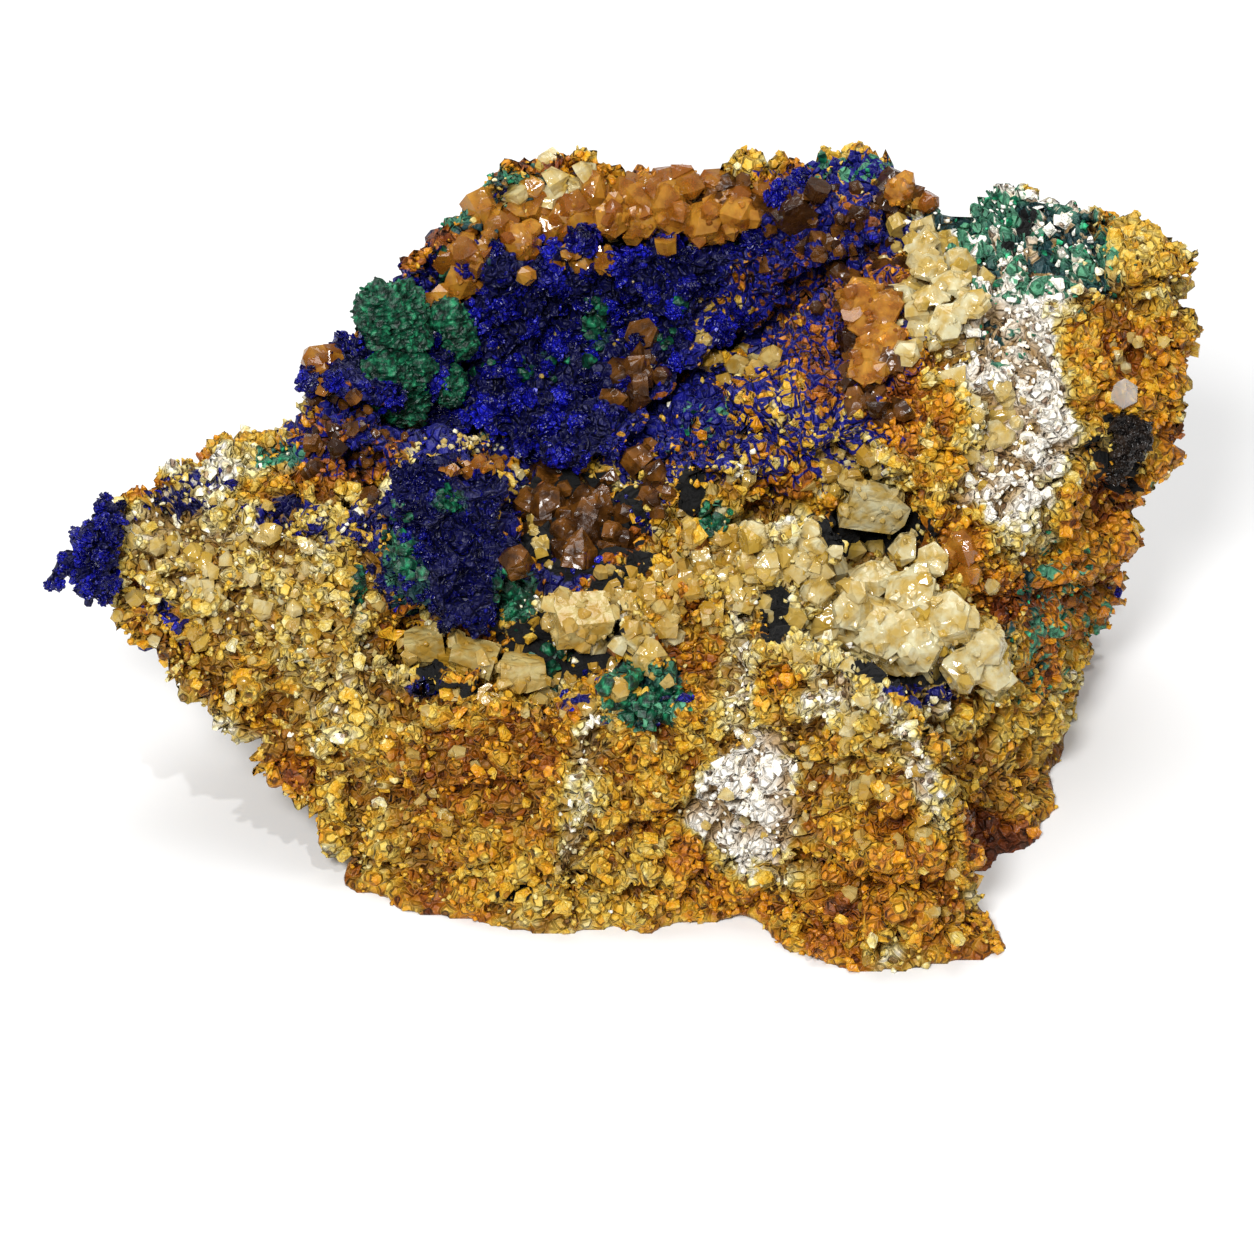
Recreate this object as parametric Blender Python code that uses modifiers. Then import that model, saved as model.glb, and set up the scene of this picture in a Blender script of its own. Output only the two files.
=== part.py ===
"""Azurite and malachite specimen: an angular lump of quartz and limonite rock, broken open on a hollow.

The hollow is lined with blue azurite. Green malachite balls, honey quartz, pale quartz blocks and a black
tuft of manganese oxide grow on the rock around it. Metres, +Z up. X runs along the specimen, +Y runs back
from its broken front face, and Z = 0 is the flat that it rests on.

Growths are placed on the rock in the front view, which looks back and down at the specimen: x runs across
it and v runs up it, in mm, from the point where the rock was set out.
"""

import math
import random
from dataclasses import dataclass, field

import bmesh
import bpy
from mathutils import Euler, Vector
from mathutils.bvhtree import BVHTree

MM = 0.001

# Driving dimensions
GAP = 0.3 * MM  # clear space between two neighbouring solids
CLEARANCE = 1.5 * GAP  # how far a round solid's corners are pushed out before it cuts a neighbour
SHARP_CLEARANCE = 2.4 * GAP  # the same for a crystal, whose faces move out less than its corners
REACH = 200 * MM  # further than any two points of the specimen are apart
BASE_SPARE = 2.5 * MM  # how far the blocks go on below the flat base before it is cut
VIEW_TILT = math.radians(35)  # how far the front view looks down
SEED = 29

# Fineness of the solids
ROCK_VOXEL = 0.8 * MM
CRUST_VOXEL = 0.42 * MM
ROCK_TRIANGLES = 3900
CRUST_TRIANGLES = 1750
SLAB_TRIANGLES = 400
KNOB_TRIANGLES = 260
BALL_TRIANGLES = 110
TUFT_TRIANGLES = 120
LUMP_CORNERS = 14
KNOB_CORNERS = 20
BALL_CORNERS = 26
SMALLEST_PIECE = 3.0 * MM ** 3
SMALLEST_CRUST = 25.0 * MM ** 3

# Roughness of the rock: the size of its swells and granules, and how far each stands up
SWELLS = (6.0 * MM, 3.4 * MM)
GRANULES = (3.0 * MM, 1.4 * MM)

# How far a growth's middle stands off the rock, in radii
ROCK_LUMP_LIFT = 0.2
CRUST_LIFT = 0.3
TUFT_LIFT = 0.3
BALL_LIFT = 1.1
BLOCK_LIFT = 0.6

# The lumps of the two azurite crusts, in mm: how far apart they stand, and their smallest and largest radius
HOLLOW_LUMPS = {"spacing": 2.0, "radii": (1.9, 2.9)}
SLAB_LUMPS = {"spacing": 1.8, "radii": (1.3, 1.8)}

# Corners of the blocks that the rock broke into, in mm. Each block is the hull of its own corners.
ROCK_BLOCKS = {
    "heart": [
        (-22, -21, 0), (0, -26, 0), (22, -27, 0), (33, -17, 0), (38, -2, 0), (37, 13, 0), (20, 19, 0),
        (-8, 19, 0), (-20, 6, 0),(-28, -8, 19), (-26, 6, 22), (-20, 16, 28), (10, 25, 31), (34, 18, 30), (40, 0, 26),
        (30, -14, 21), (0, -18, 20),
    ],
    "left_lobe": [
        (-46, -10, 21), (-42.5, -13.5, 17), (-39.5, -14.5, 13.8), (-32.8, -15.5, 11.8), (-27.3, -18, 9.5),
        (-42.5, -6.5, 28.5), (-34.5, -3, 31), (-28, 0, 31.5), (-21, -8, 28), (-19, -16.5, 21), (-43, 1, 19),
        (-33, 8, 16), (-27, 8, 28), (-20, 0, 8), (-24.8, -22, 3.5),
    ],
    "front_left_spur": [
        (-24, -24.5, 0), (-18.5, -27.5, 0), (-14, -29.5, 0), (-7, -30.5, 0), (-2, -30.5, 0), (-2, -25, 15),
        (-6, -21.5, 19), (-19, -17, 21), (-26, -19, 8.5), (-20, -10, 4), (0, -12, 4),
    ],
    "front_middle_spur": [
        (-4, -30, 0), (1.5, -30.5, 0), (6, -29, 0), (3, -25, 15), (2, -20.5, 20), (-6, -19.5, 19), (10, -20, 19),
        (12, -26, 4), (0, -12, 4),
    ],
    "front_right_spur": [
        (10, -29.5, 0), (15.5, -34, 0), (19.5, -35.5, 0), (24, -35.5, 0), (28.5, -33.5, 0), (32, -32, 0),
        (30, -28, 3), (28, -30, 13), (24.5, -28, 22), (18, -24.5, 25), (9, -21, 24), (8, -24, 12), (22, -14, 4),
        (12, -14, 20),
    ],
    "right_foot": [
        (31, -23, 0), (35.5, -18, 0), (38.5, -6, 0), (41.5, 10, 0), (36, 18, 0), (24, -14, 14), (27, -15, 17),
        (36, -5, 9), (39.5, 0, 10), (41.5, 11, 10), (20, 0, 4),
    ],
    "right_shoulder": [
        (31, 22, 44.5), (38, 18.5, 45), (46, 10.5, 45.2), (49, 7, 45.2), (49.2, 5, 41), (49, 4, 36),
        (47.5, 2.5, 28.5), (46, 2.5, 22.5), (43, 4.5, 7), (32, -4, 32), (32, -8, 23.5), (36.5, -4, 15),
        (27.5, 4, 38.5), (44, 22, 30), (43, 16, 8), (30, 25, 37), (28, 20, 8),
    ],
    "right_slope": [
        (20, -2, 34), (29, 0, 37), (33, -5, 30), (32, -9, 23), (27, -13, 20), (25, -8, 28), (24, -4, 31),
        (30, 4, 20), (22, 4, 24),
    ],
    "back_left_ridge": [
        (-9, 22.5, 47.6), (-11, 21, 46.8), (-14.6, 18, 44.2), (-19, 14.5, 41.4), (-23.4, 11, 38.3),
        (-26.8, 8, 34.8), (-27.8, 5, 31.4), (-2.5, 24.5, 44.5), (-24, 14, 12), (-10, 25, 14), (-18, 10, 33),
        (-25, 3, 27), (-6, 19, 36),
    ],
    "back_middle_ridge": [
        (-9, 22, 45), (-2.5, 24.2, 42.4), (6.5, 26.5, 39), (13.5, 27.5, 39.2), (20.5, 26.5, 44.2),
        (25.5, 24.5, 43.2), (-10, 25, 12), (8, 28, 10), (24, 27, 12), (-6, 19, 34), (12, 21, 35), (22, 18, 38),
    ],
    "boxwork_ridge": [
        (20.5, 25, 43.5), (27, 22, 43), (28, 8, 40), (26, 0, 36), (17, -5, 33), (8, -7, 31), (2, -8, 28),
        (10, 0, 34), (17, 10, 38), (31, 20, 42), (14, 0, 22), (28, 0, 20),
    ],
    "slab": [
        (-21, -6, 30.5), (-14, -4, 32.5), (-9.5, -6, 31), (-7.5, -11.5, 22), (-9.5, -15, 19.5),
        (-19, -15.5, 20.5), (-20, -2, 24),(-10, -2, 24), (-20, 2.5, 30.5), (-12, 1.5, 29.5),
    ],
    "front_rim": [
        (-4, -16, 21), (8, -18, 23), (14, -15, 27), (18, -11, 30), (4, -10, 28), (-2, -12, 23), (0, -6, 18),
        (18, -4, 18), (20, -15, 23),
    ],
    "left_rim_lump": [
        (-27.8, -1, 31.8), (-25, -3, 33.2), (-21, -2, 33), (-19, 2, 31), (-24, 4, 33), (-28, 5, 32),
        (-22, 0, 24), (-29, 2, 26),
    ],
}

# Lumps that stand on the rock and are part of it: x and v in the front view, then radius, in mm.
ROCK_LUMPS = [
    (3.2, 23.5, 2.0), (6.2, 21.8, 1.9), (2.0, 17.8, 1.9), (5.4, 16.2, 1.7), (9.6, 19.6, 1.8), (8.0, 24.6, 1.5),
    (12.2, 16.2, 1.7), (-29.5, 22.0, 1.5), (-27.0, 20.4, 1.4), (-38.5, 21.6, 1.6), (-35.0, 23.0, 1.3),
    (13.8, -2.0, 2.0), (8.4, -6.2, 2.2), (9.0, 32.6, 2.1), (12.4, 30.6, 1.7), (-5.4, -12.0, 1.5),
]

# The hollow and the smaller holes beside it, in mm: centre, half sizes, turn about Z in degrees.
HOLLOWS = {
    "upper_hollow": [
        ((-6, 7, 37.5), (16, 10.5, 12), 10), ((4, 12, 41), (14, 8.5, 12), 14),
        ((-15.5, 4.5, 38.5), (7.5, 7, 7.5), -20), ((14, 15.5, 44.5), (8.5, 6, 7.5), 30),
    ],
    "front_cavity": [((-3.5, -7, 28), (5.5, 6, 7.5), 0)],
    "right_cavity": [((20.5, -8, 24.6), (4.4, 9, 3.6), 0)],
    "ledge": [((-4, -18.5, 22), (8, 2.6, 3), 6), ((8, -20.5, 25.5), (6, 2.2, 3), -8)],
    "spur_valley": [((10.5, -31, 4), (2.2, 4, 10), 0), ((-6, -31, 8), (1.8, 3, 9), 8)],
    "slab_foot": [((-20.5, -15.5, 22), (2.2, 3, 5), 20)],
}

# Front view outlines of the azurite crust in the hollow, and of the strip of it on the slab's face, in mm.
HOLLOW_OUTLINE = [
    (-27.2, 28.8), (-25.2, 33), (-18.5, 35), (-16.1, 39.5), (-10.9, 42.4), (-4.9, 43.6), (1.1, 43.4), (8, 43.4),
    (12.8, 45.2), (19.2, 46.2), (23, 45.8), (22.6, 42.6), (19.2, 41.3), (11.5, 37.8), (9.3, 34.4), (5.4, 30.9),
    (2, 27.5), (-0.5, 23.5), (-7.2, 22.2), (-9.7, 24.5), (-16.1, 26.6), (-19.6, 25.4), (-24.7, 26.6),
]
SLAB_OUTLINE = [
    (-20.3, 18), (-19.6, 21.4), (-16.1, 22.8), (-10.3, 21.4), (-8.4, 14.5), (-9.2, 11.1), (-13.5, 7.6),
    (-17.4, 10.2), (-19.6, 11.9),
]

# Round growths: x and v in the front view, then radius, in mm.
MALACHITE_BALLS = {
    "malachite_ball_upper": [(-21.7, 35.9, 2.5), (-19.5, 36.3, 2.0), (-20.9, 34.0, 2.1), (-18.9, 34.6, 1.8)],
    "malachite_ball_right": [(-16.6, 35.0, 1.9), (-15.6, 33.4, 1.5)],
    "malachite_ball_lower": [(-21.5, 31.0, 2.2), (-19.9, 29.4, 2.0), (-22.6, 29.0, 1.7), (-19.3, 31.4, 1.8)],
    "malachite_ball_small": [(-16.7, 30.8, 1.7)],
}
MANGANESE_TUFT = [
    (42.3, 25.9, 1.6), (42.1, 24.0, 1.8), (41.3, 21.9, 1.4), (43.3, 25.6, 1.1), (42.7, 20.6, 1.1),
]

# The azurite knob on the tip of the left lobe, in mm: centre, then radius.
TIP_KNOB = [
    ((-44.4, -8.6, 25.6), 2.8), ((-46.2, -8.6, 23.6), 2.4), ((-43.4, -9.8, 22.6), 2.5), ((-48.2, -9.0, 21.6), 1.1),
    ((-43.2, -7.2, 27.2), 1.8), ((-45.2, -10.4, 21.8), 1.9),
]

# Six-sided crystals grown together: x and v of the foot, radius, prism height, point height, in mm.
CRYSTAL_CLUSTERS = {
    "honey_quartz_rim": [
        (-16.6, 37.4, 1.8, 0.8, 1.4), (-14.6, 39.2, 1.9, 1.0, 1.5), (-12.2, 40.8, 1.8, 0.6, 1.4),
        (-9.8, 42.4, 1.9, 1.2, 1.4), (-7.2, 43.8, 1.8, 0.8, 1.5), (-4.4, 44.4, 2.0, 1.0, 1.3),
        (-1.6, 44.4, 1.8, 1.2, 1.6), (1.2, 44.6, 2.0, 0.7, 1.4), (4.0, 44.6, 1.8, 1.2, 1.5),
        (6.8, 44.4, 2.0, 0.8, 1.4), (9.6, 45.0, 1.8, 0.8, 1.5),
    ],
    "honey_quartz_right": [
        (20.1, 36.9, 1.9, 0.8, 1.3), (22.0, 35.7, 2.0, 0.8, 1.2), (20.6, 34.3, 1.8, 0.7, 1.2),
        (22.2, 32.9, 1.9, 0.6, 1.2), (20.8, 31.6, 1.9, 0.8, 1.1), (20.2, 30.2, 1.7, 0.6, 1.2),
    ],
    "cream_quartz_band": [
        (25.3, 41.3, 1.5, 0.5, 1.0), (26.0, 39.4, 1.6, 0.7, 1.1), (27.8, 37.8, 1.8, 0.8, 1.0),
        (26.0, 36.6, 1.7, 0.6, 1.1), (29.4, 36.0, 1.7, 0.6, 1.0), (27.4, 34.6, 1.8, 0.6, 1.0),
    ],
    "pale_quartz_cluster": [
        (18.4, 10.2, 2.0, 1.0, 0.9), (21.0, 11.8, 2.3, 1.8, 1.1), (24.0, 10.8, 2.3, 2.0, 1.1),
        (27.0, 9.2, 2.2, 1.6, 1.2), (29.8, 7.2, 1.9, 1.2, 1.3), (21.4, 8.0, 2.3, 1.6, 1.0),
        (24.6, 7.4, 2.2, 1.8, 1.0), (28.0, 5.4, 2.0, 1.4, 1.1), (30.8, 4.6, 1.6, 0.8, 1.2),
    ],
    "rose_quartz_point": [(24.2, 15.0, 1.9, 1.0, 1.2), (25.8, 14.4, 1.5, 0.6, 1.0)],
    "clear_quartz_point": [(42.0, 28.4, 1.3, 1.2, 1.5)],
    "amber_quartz_point": [(23.6, 46.2, 1.4, 1.4, 1.7), (25.2, 45.6, 1.1, 0.8, 1.2)],
}

# Single blocks of quartz: x and v in the front view, half sizes across, front to back and up, in mm.
QUARTZ_BLOCKS = {
    "cream_quartz_block": (20.8, 21.4, (3.2, 2.4, 2.4)),
    "yellow_quartz_block_1": (-3.3, 9.2, (2.6, 1.9, 1.9)),
    "yellow_quartz_block_2": (-12.8, 5.4, (2.0, 1.7, 1.8)),
    "yellow_quartz_block_3": (-8.3, 4.6, (2.1, 1.7, 1.6)),
    "yellow_quartz_block_4": (-16.5, 7.0, (1.8, 1.5, 1.5)),
}

# Base colour, roughness and metallic value of each material.
FINISHES = {
    "limonite_rock": ((0.42, 0.27, 0.10), 0.85, 0.0),
    "azurite": ((0.012, 0.020, 0.30), 0.35, 0.0),
    "malachite": ((0.015, 0.22, 0.12), 0.55, 0.0),
    "manganese_oxide": ((0.018, 0.015, 0.013), 0.6, 0.0),
    "honey_quartz": ((0.50, 0.24, 0.06), 0.25, 0.0),
    "pale_quartz": ((0.62, 0.56, 0.38), 0.35, 0.0),
    "yellow_quartz": ((0.55, 0.42, 0.14), 0.35, 0.0),
    "clear_quartz": ((0.78, 0.77, 0.74), 0.1, 0.0),
}

# Which quartz each crystal or block is, by the first word of its name.
QUARTZ_KINDS = {
    "honey": "honey_quartz",
    "amber": "honey_quartz",
    "cream": "pale_quartz",
    "pale": "pale_quartz",
    "rose": "pale_quartz",
    "yellow": "yellow_quartz",
    "clear": "clear_quartz",
}


@dataclass
class Site:
    """Where growths are made: the rock's surface, and hidden shapes of the solids that are there already."""

    parts: bpy.types.Collection
    cutters: bpy.types.Collection
    rng: random.Random
    surface: BVHTree = None
    taken: list = field(default_factory=list)


def clear_scene():
    for obj in list(bpy.data.objects):
        bpy.data.objects.remove(obj, do_unlink=True)


def finish(obj, name):
    """Gives the object the named material, which is made on its first use."""
    material = bpy.data.materials.get(name)
    if material is None:
        material = bpy.data.materials.new(name)
        material.use_nodes = True
        shader = material.node_tree.nodes["Principled BSDF"]
        colour, roughness, metallic = FINISHES[name]
        shader.inputs["Base Color"].default_value = (*colour, 1.0)
        shader.inputs["Roughness"].default_value = roughness
        shader.inputs["Metallic"].default_value = metallic
    obj.data.materials.clear()
    obj.data.materials.append(material)


def new_object(name, bm, collection):
    """An object made from bm, which is freed."""
    mesh = bpy.data.meshes.new(name)
    bm.to_mesh(mesh)
    bm.free()
    obj = bpy.data.objects.new(name, mesh)
    collection.objects.link(obj)
    return obj


def hide_helper(obj):
    obj.hide_render = True
    obj.display_type = "WIRE"
    return obj


def add_hull(bm, corners):
    """The convex hull of some points in metres, added to bm as a body of its own."""
    made = [bm.verts.new(corner) for corner in corners]
    result = bmesh.ops.convex_hull(bm, input=made)
    loose = [v for v in result["geom_interior"] + result["geom_unused"] if isinstance(v, bmesh.types.BMVert)]
    bmesh.ops.delete(bm, geom=list(set(loose)), context="VERTS")


def add_lump(bm, rng, centre, radius, corners=LUMP_CORNERS):
    """A rough faceted lump: the hull of points spread evenly over a sphere, each pushed in or out."""
    spiral = math.pi * (3 - math.sqrt(5))
    start = rng.uniform(0, math.tau)
    turn = Euler([rng.uniform(0, math.tau) for _ in range(3)]).to_matrix()
    points = []
    for index in range(corners):
        height = 1 - 2 * (index + 0.5) / corners
        ring = math.sqrt(1 - height * height)
        angle = start + spiral * index
        point = turn @ Vector((ring * math.cos(angle), ring * math.sin(angle), height))
        points.append(centre + point * radius * rng.uniform(0.85, 1.1))
    add_hull(bm, points)


def add_crystal(bm, foot, direction, radius, prism, point, spin):
    """A six-sided crystal: flat prism faces as high as prism, then a pyramid."""
    frame = direction.to_track_quat("Z", "X").to_matrix()
    corners = [foot + frame @ Vector((0, 0, prism + point))]
    for side in range(6):
        angle = math.radians(60 * side) + spin
        edge = Vector((radius * math.cos(angle), radius * math.sin(angle), -radius))
        corners += [foot + frame @ edge, foot + frame @ (edge + Vector((0, 0, radius + prism)))]
    add_hull(bm, corners)


def add_block(bm, rng, centre, half, turn):
    """A cleaved block with uneven corners."""
    corners = []
    for sx in (-1, 1):
        for sy in (-1, 1):
            for sz in (-1, 1):
                corner = Vector((sx * half[0], sy * half[1], sz * half[2])) * MM
                corners.append(centre + turn @ (corner * rng.uniform(0.82, 1.0)))
    add_hull(bm, corners)


def add_ellipsoid(bm, centre, half, turn):
    """A rounded cutter in mm, turned about Z in degrees."""
    bmesh.ops.create_icosphere(bm, subdivisions=3, radius=1.0)
    bmesh.ops.scale(bm, vec=Vector(half) * MM, verts=bm.verts)
    bmesh.ops.rotate(bm, matrix=Euler((0, 0, math.radians(turn))).to_matrix(), verts=bm.verts)
    bmesh.ops.translate(bm, vec=Vector(centre) * MM, verts=bm.verts)


def frozen(obj, name, collection):
    """The object's evaluated mesh as an object of its own; the first object is removed."""
    graph = bpy.context.evaluated_depsgraph_get()
    mesh = bpy.data.meshes.new_from_object(obj.evaluated_get(graph))
    bpy.data.objects.remove(obj, do_unlink=True)
    mesh.name = name
    made = bpy.data.objects.new(name, mesh)
    collection.objects.link(made)
    return made


def add_voxel_remesh(obj, size):
    remesh = obj.modifiers.new("fuse", "REMESH")
    remesh.mode = "VOXEL"
    remesh.voxel_size = size


def add_displace(obj, kind, scale, depth):
    texture = bpy.data.textures.new(f"{obj.name}_{kind.lower()}", kind)
    texture.noise_scale = scale
    displace = obj.modifiers.new(kind.lower(), "DISPLACE")
    displace.texture = texture
    displace.strength = depth
    displace.mid_level = 0.5
    displace.texture_coords = "LOCAL"


def add_boolean(obj, other, operation="DIFFERENCE", solver="EXACT"):
    boolean = obj.modifiers.new(other.name, "BOOLEAN")
    boolean.operation = operation
    boolean.object = other
    boolean.solver = solver


def add_decimate(obj, triangles):
    graph = bpy.context.evaluated_depsgraph_get()
    mesh = obj.evaluated_get(graph).data
    mesh.calc_loop_triangles()
    decimate = obj.modifiers.new("facets", "DECIMATE")
    decimate.ratio = min(1.0, triangles / len(mesh.loop_triangles))
    decimate.use_collapse_triangulate = True


def islands_of(bm):
    """Lists of the corners that hang together, the longest list first."""
    reached = set()
    islands = []
    for first in bm.verts:
        if first in reached:
            continue
        reached.add(first)
        island = [first]
        for vert in island:
            for edge in vert.link_edges:
                other = edge.other_vert(vert)
                if other not in reached:
                    reached.add(other)
                    island.append(other)
        islands.append(island)
    return sorted(islands, key=len, reverse=True)


def keep_island(bm, number):
    others = [v for index, island in enumerate(islands_of(bm)) if index != number for v in island]
    bmesh.ops.delete(bm, geom=others, context="VERTS")


def keep_largest_piece(obj):
    bm = bmesh.new()
    bm.from_mesh(obj.data)
    keep_island(bm, 0)
    bm.to_mesh(obj.data)
    bm.free()


def separate_pieces(obj, name, collection, smallest=SMALLEST_PIECE):
    """Each island of the mesh as an object of its own, numbered where there are more, without the crumbs."""
    whole = bmesh.new()
    whole.from_mesh(obj.data)
    pieces = []
    for number in range(len(islands_of(whole))):
        bm = whole.copy()
        keep_island(bm, number)
        if bm.calc_volume() < smallest:
            bm.free()
        else:
            pieces.append(new_object(f"{name}_{len(pieces) + 1}", bm, collection))
    whole.free()
    if len(pieces) == 1:
        pieces[0].name = name
    bpy.data.objects.remove(obj, do_unlink=True)
    return pieces


def surface_of(obj):
    return BVHTree.FromObject(obj, bpy.context.evaluated_depsgraph_get())


def front_view_point(surface, x, v):
    """The point of the rock at x and v in the front view, and the rock's outward normal there."""
    up = Vector((0, math.sin(VIEW_TILT), math.cos(VIEW_TILT)))
    back = Vector((0, math.cos(VIEW_TILT), -math.sin(VIEW_TILT)))
    start = Vector((x, 0, 0)) * MM + up * v * MM - back * REACH
    point, normal, _, _ = surface.ray_cast(start, back)
    return point, normal


def inside(outline, x, v):
    """Whether a point of the front view is inside an outline."""
    crossed = False
    for (x0, v0), (x1, v1) in zip(outline, outline[1:] + outline[:1]):
        if (v0 > v) != (v1 > v) and x < x0 + (v - v0) / (v1 - v0) * (x1 - x0):
            crossed = not crossed
    return crossed


def spots_inside(outline, spacing, rng):
    """Front view points about a spacing apart, with some scatter, inside an outline."""
    xs = [x for x, _ in outline]
    vs = [v for _, v in outline]
    spots = []
    for column in range(int((max(xs) - min(xs)) / spacing) + 1):
        for row in range(int((max(vs) - min(vs)) / spacing) + 1):
            x = min(xs) + (column + rng.uniform(-0.35, 0.35)) * spacing
            v = min(vs) + (row + 0.5 * (column % 2) + rng.uniform(-0.35, 0.35)) * spacing
            if inside(outline, x, v):
                spots.append((x, v))
    return spots


def take_up(site, obj, clearance=CLEARANCE):
    """Keeps a hidden copy of a solid with its faces pushed out, which cuts later growths clear of it."""
    copy = bpy.data.objects.new(f"{obj.name}_clearance", obj.data.copy())
    site.cutters.objects.link(copy)
    push = copy.modifiers.new("gap", "DISPLACE")
    push.strength = clearance
    push.mid_level = 0.0
    site.taken.append(hide_helper(copy))


def cut_clear(site, obj):
    """Cuts a growth back from what is there already, by shapes that may cross themselves at sharp corners."""
    for neighbour in site.taken:
        add_boolean(obj, neighbour, solver="MANIFOLD")


def fused_lumps(site, name, lumps, triangles, corners=LUMP_CORNERS):
    """Lumps given by centre and radius in metres, fused in one solid that is twice as fine as its node."""
    bm = bmesh.new()
    for centre, radius in lumps:
        add_lump(bm, site.rng, centre, radius, corners)
    obj = new_object(f"{name}_lumps", bm, site.parts)
    add_voxel_remesh(obj, CRUST_VOXEL)
    add_decimate(obj, 2 * triangles)
    return frozen(obj, f"{name}_rough", site.parts)


def settle_lumps(site, name, lumps, triangles, material, corners=LUMP_CORNERS):
    """Fused lumps, cut back from their neighbours and made a node."""
    obj = fused_lumps(site, name, lumps, triangles, corners)
    cut_clear(site, obj)
    add_voxel_remesh(obj, CRUST_VOXEL)
    add_decimate(obj, triangles)
    node = frozen(obj, name, site.parts)
    keep_largest_piece(node)
    finish(node, material)
    take_up(site, node)


def settle_crystals(site, name, obj):
    """Crystals cut back from their neighbours. Those that touch no other are nodes of their own."""
    cut_clear(site, obj)
    for node in separate_pieces(frozen(obj, f"{name}_cut", site.parts), name, site.parts):
        finish(node, QUARTZ_KINDS[name.split("_")[0]])
        take_up(site, node, SHARP_CLEARANCE)


def round_growth(site, growths, lift):
    """Centres and radii in metres of growths given in the front view, lifted off the rock."""
    lumps = []
    for x, v, radius in growths:
        point, normal = front_view_point(site.surface, x, v)
        lumps.append((point + normal * radius * lift * MM, radius * MM))
    return lumps


def crust_lumps(site, outline, spacing, radii):
    """Lumps that overlap over the part of the rock inside a front view outline."""
    lumps = []
    for x, v in spots_inside(outline, spacing, site.rng):
        point, normal = front_view_point(site.surface, x, v)
        radius = site.rng.uniform(*radii) * MM
        lumps.append((point + normal * radius * CRUST_LIFT, radius))
    return lumps


def make_rock_blocks(site):
    """The rock's blocks fused, hollowed out and roughened."""
    bm = bmesh.new()
    for corners in ROCK_BLOCKS.values():
        add_hull(bm, [Vector((x * MM, y * MM, z * MM if z > 0 else -BASE_SPARE)) for x, y, z in corners])
    blocks = new_object("rock_blocks", bm, site.parts)
    add_voxel_remesh(blocks, ROCK_VOXEL)
    for name, hollows in HOLLOWS.items():
        for index, (centre, half, turn) in enumerate(hollows):
            bm = bmesh.new()
            add_ellipsoid(bm, centre, half, turn)
            add_boolean(blocks, hide_helper(new_object(f"{name}_{index}", bm, site.cutters)))
    smooth = blocks.modifiers.new("worn_edges", "SMOOTH")
    smooth.iterations = 3
    add_displace(blocks, "CLOUDS", *SWELLS)
    add_displace(blocks, "VORONOI", *GRANULES)
    return frozen(blocks, "rock", site.parts)


def add_rock_lumps(rock):
    surface = surface_of(rock)
    rng = random.Random(SEED)
    bm = bmesh.new()
    bm.from_mesh(rock.data)
    for x, v, radius in ROCK_LUMPS:
        point, normal = front_view_point(surface, x, v)
        add_lump(bm, rng, point + normal * radius * ROCK_LUMP_LIFT * MM, radius * MM)
    bm.to_mesh(rock.data)
    bm.free()
    add_voxel_remesh(rock, ROCK_VOXEL)
    add_decimate(rock, ROCK_TRIANGLES)


def make_matrix(site):
    """The rock, cut off flat where it rests."""
    rock = make_rock_blocks(site)
    add_rock_lumps(rock)
    ground = bmesh.new()
    bmesh.ops.create_cube(ground, size=REACH)
    bmesh.ops.translate(ground, vec=(0, 0, -REACH / 2), verts=ground.verts)
    add_boolean(rock, hide_helper(new_object("ground", ground, site.cutters)))
    matrix = frozen(rock, "matrix", site.parts)
    keep_largest_piece(matrix)
    finish(matrix, "limonite_rock")
    site.surface = surface_of(matrix)
    take_up(site, matrix)


def grow_malachite(site):
    for name, growths in MALACHITE_BALLS.items():
        lumps = round_growth(site, growths, BALL_LIFT)
        settle_lumps(site, name, lumps, BALL_TRIANGLES, "malachite", BALL_CORNERS)


def grow_azurite_knob(site):
    lumps = [(Vector(centre) * MM, radius * MM) for centre, radius in TIP_KNOB]
    settle_lumps(site, "azurite_tip_cluster", lumps, KNOB_TRIANGLES, "azurite", KNOB_CORNERS)


def grow_manganese_tuft(site):
    lumps = round_growth(site, MANGANESE_TUFT, TUFT_LIFT)
    settle_lumps(site, "manganese_tuft", lumps, TUFT_TRIANGLES, "manganese_oxide")


def grow_quartz_crystals(site):
    """Each cluster is its first crystal with the others joined to it one by one."""
    towards_light = Vector((0, -0.35, 1)).normalized()
    for name, crystals in CRYSTAL_CLUSTERS.items():
        cluster = None
        for index, (x, v, radius, prism, point) in enumerate(crystals):
            foot, normal = front_view_point(site.surface, x, v)
            lean = Vector([site.rng.uniform(-0.3, 0.3) for _ in range(3)])
            direction = (normal + towards_light * 0.6 + lean).normalized()
            spin = site.rng.uniform(0, math.pi)
            bm = bmesh.new()
            add_crystal(bm, foot, direction, radius * MM, prism * MM, point * MM, spin)
            if cluster is None:
                cluster = new_object(f"{name}_crystals", bm, site.parts)
            else:
                crystal = hide_helper(new_object(f"{name}_crystal_{index}", bm, site.cutters))
                add_boolean(cluster, crystal, "UNION")
        settle_crystals(site, name, cluster)


def grow_quartz_blocks(site):
    for name, (x, v, half) in QUARTZ_BLOCKS.items():
        point, normal = front_view_point(site.surface, x, v)
        turn = Euler([math.radians(site.rng.uniform(-18, 18)) for _ in range(3)]).to_matrix()
        bm = bmesh.new()
        add_block(bm, site.rng, point + normal * half[1] * BLOCK_LIFT * MM, half, turn)
        settle_crystals(site, name, new_object(f"{name}_rough", bm, site.parts))


def grow_slab_face(site):
    lumps = crust_lumps(site, SLAB_OUTLINE, **SLAB_LUMPS)
    settle_lumps(site, "azurite_slab_face", lumps, SLAB_TRIANGLES, "azurite")


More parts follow.
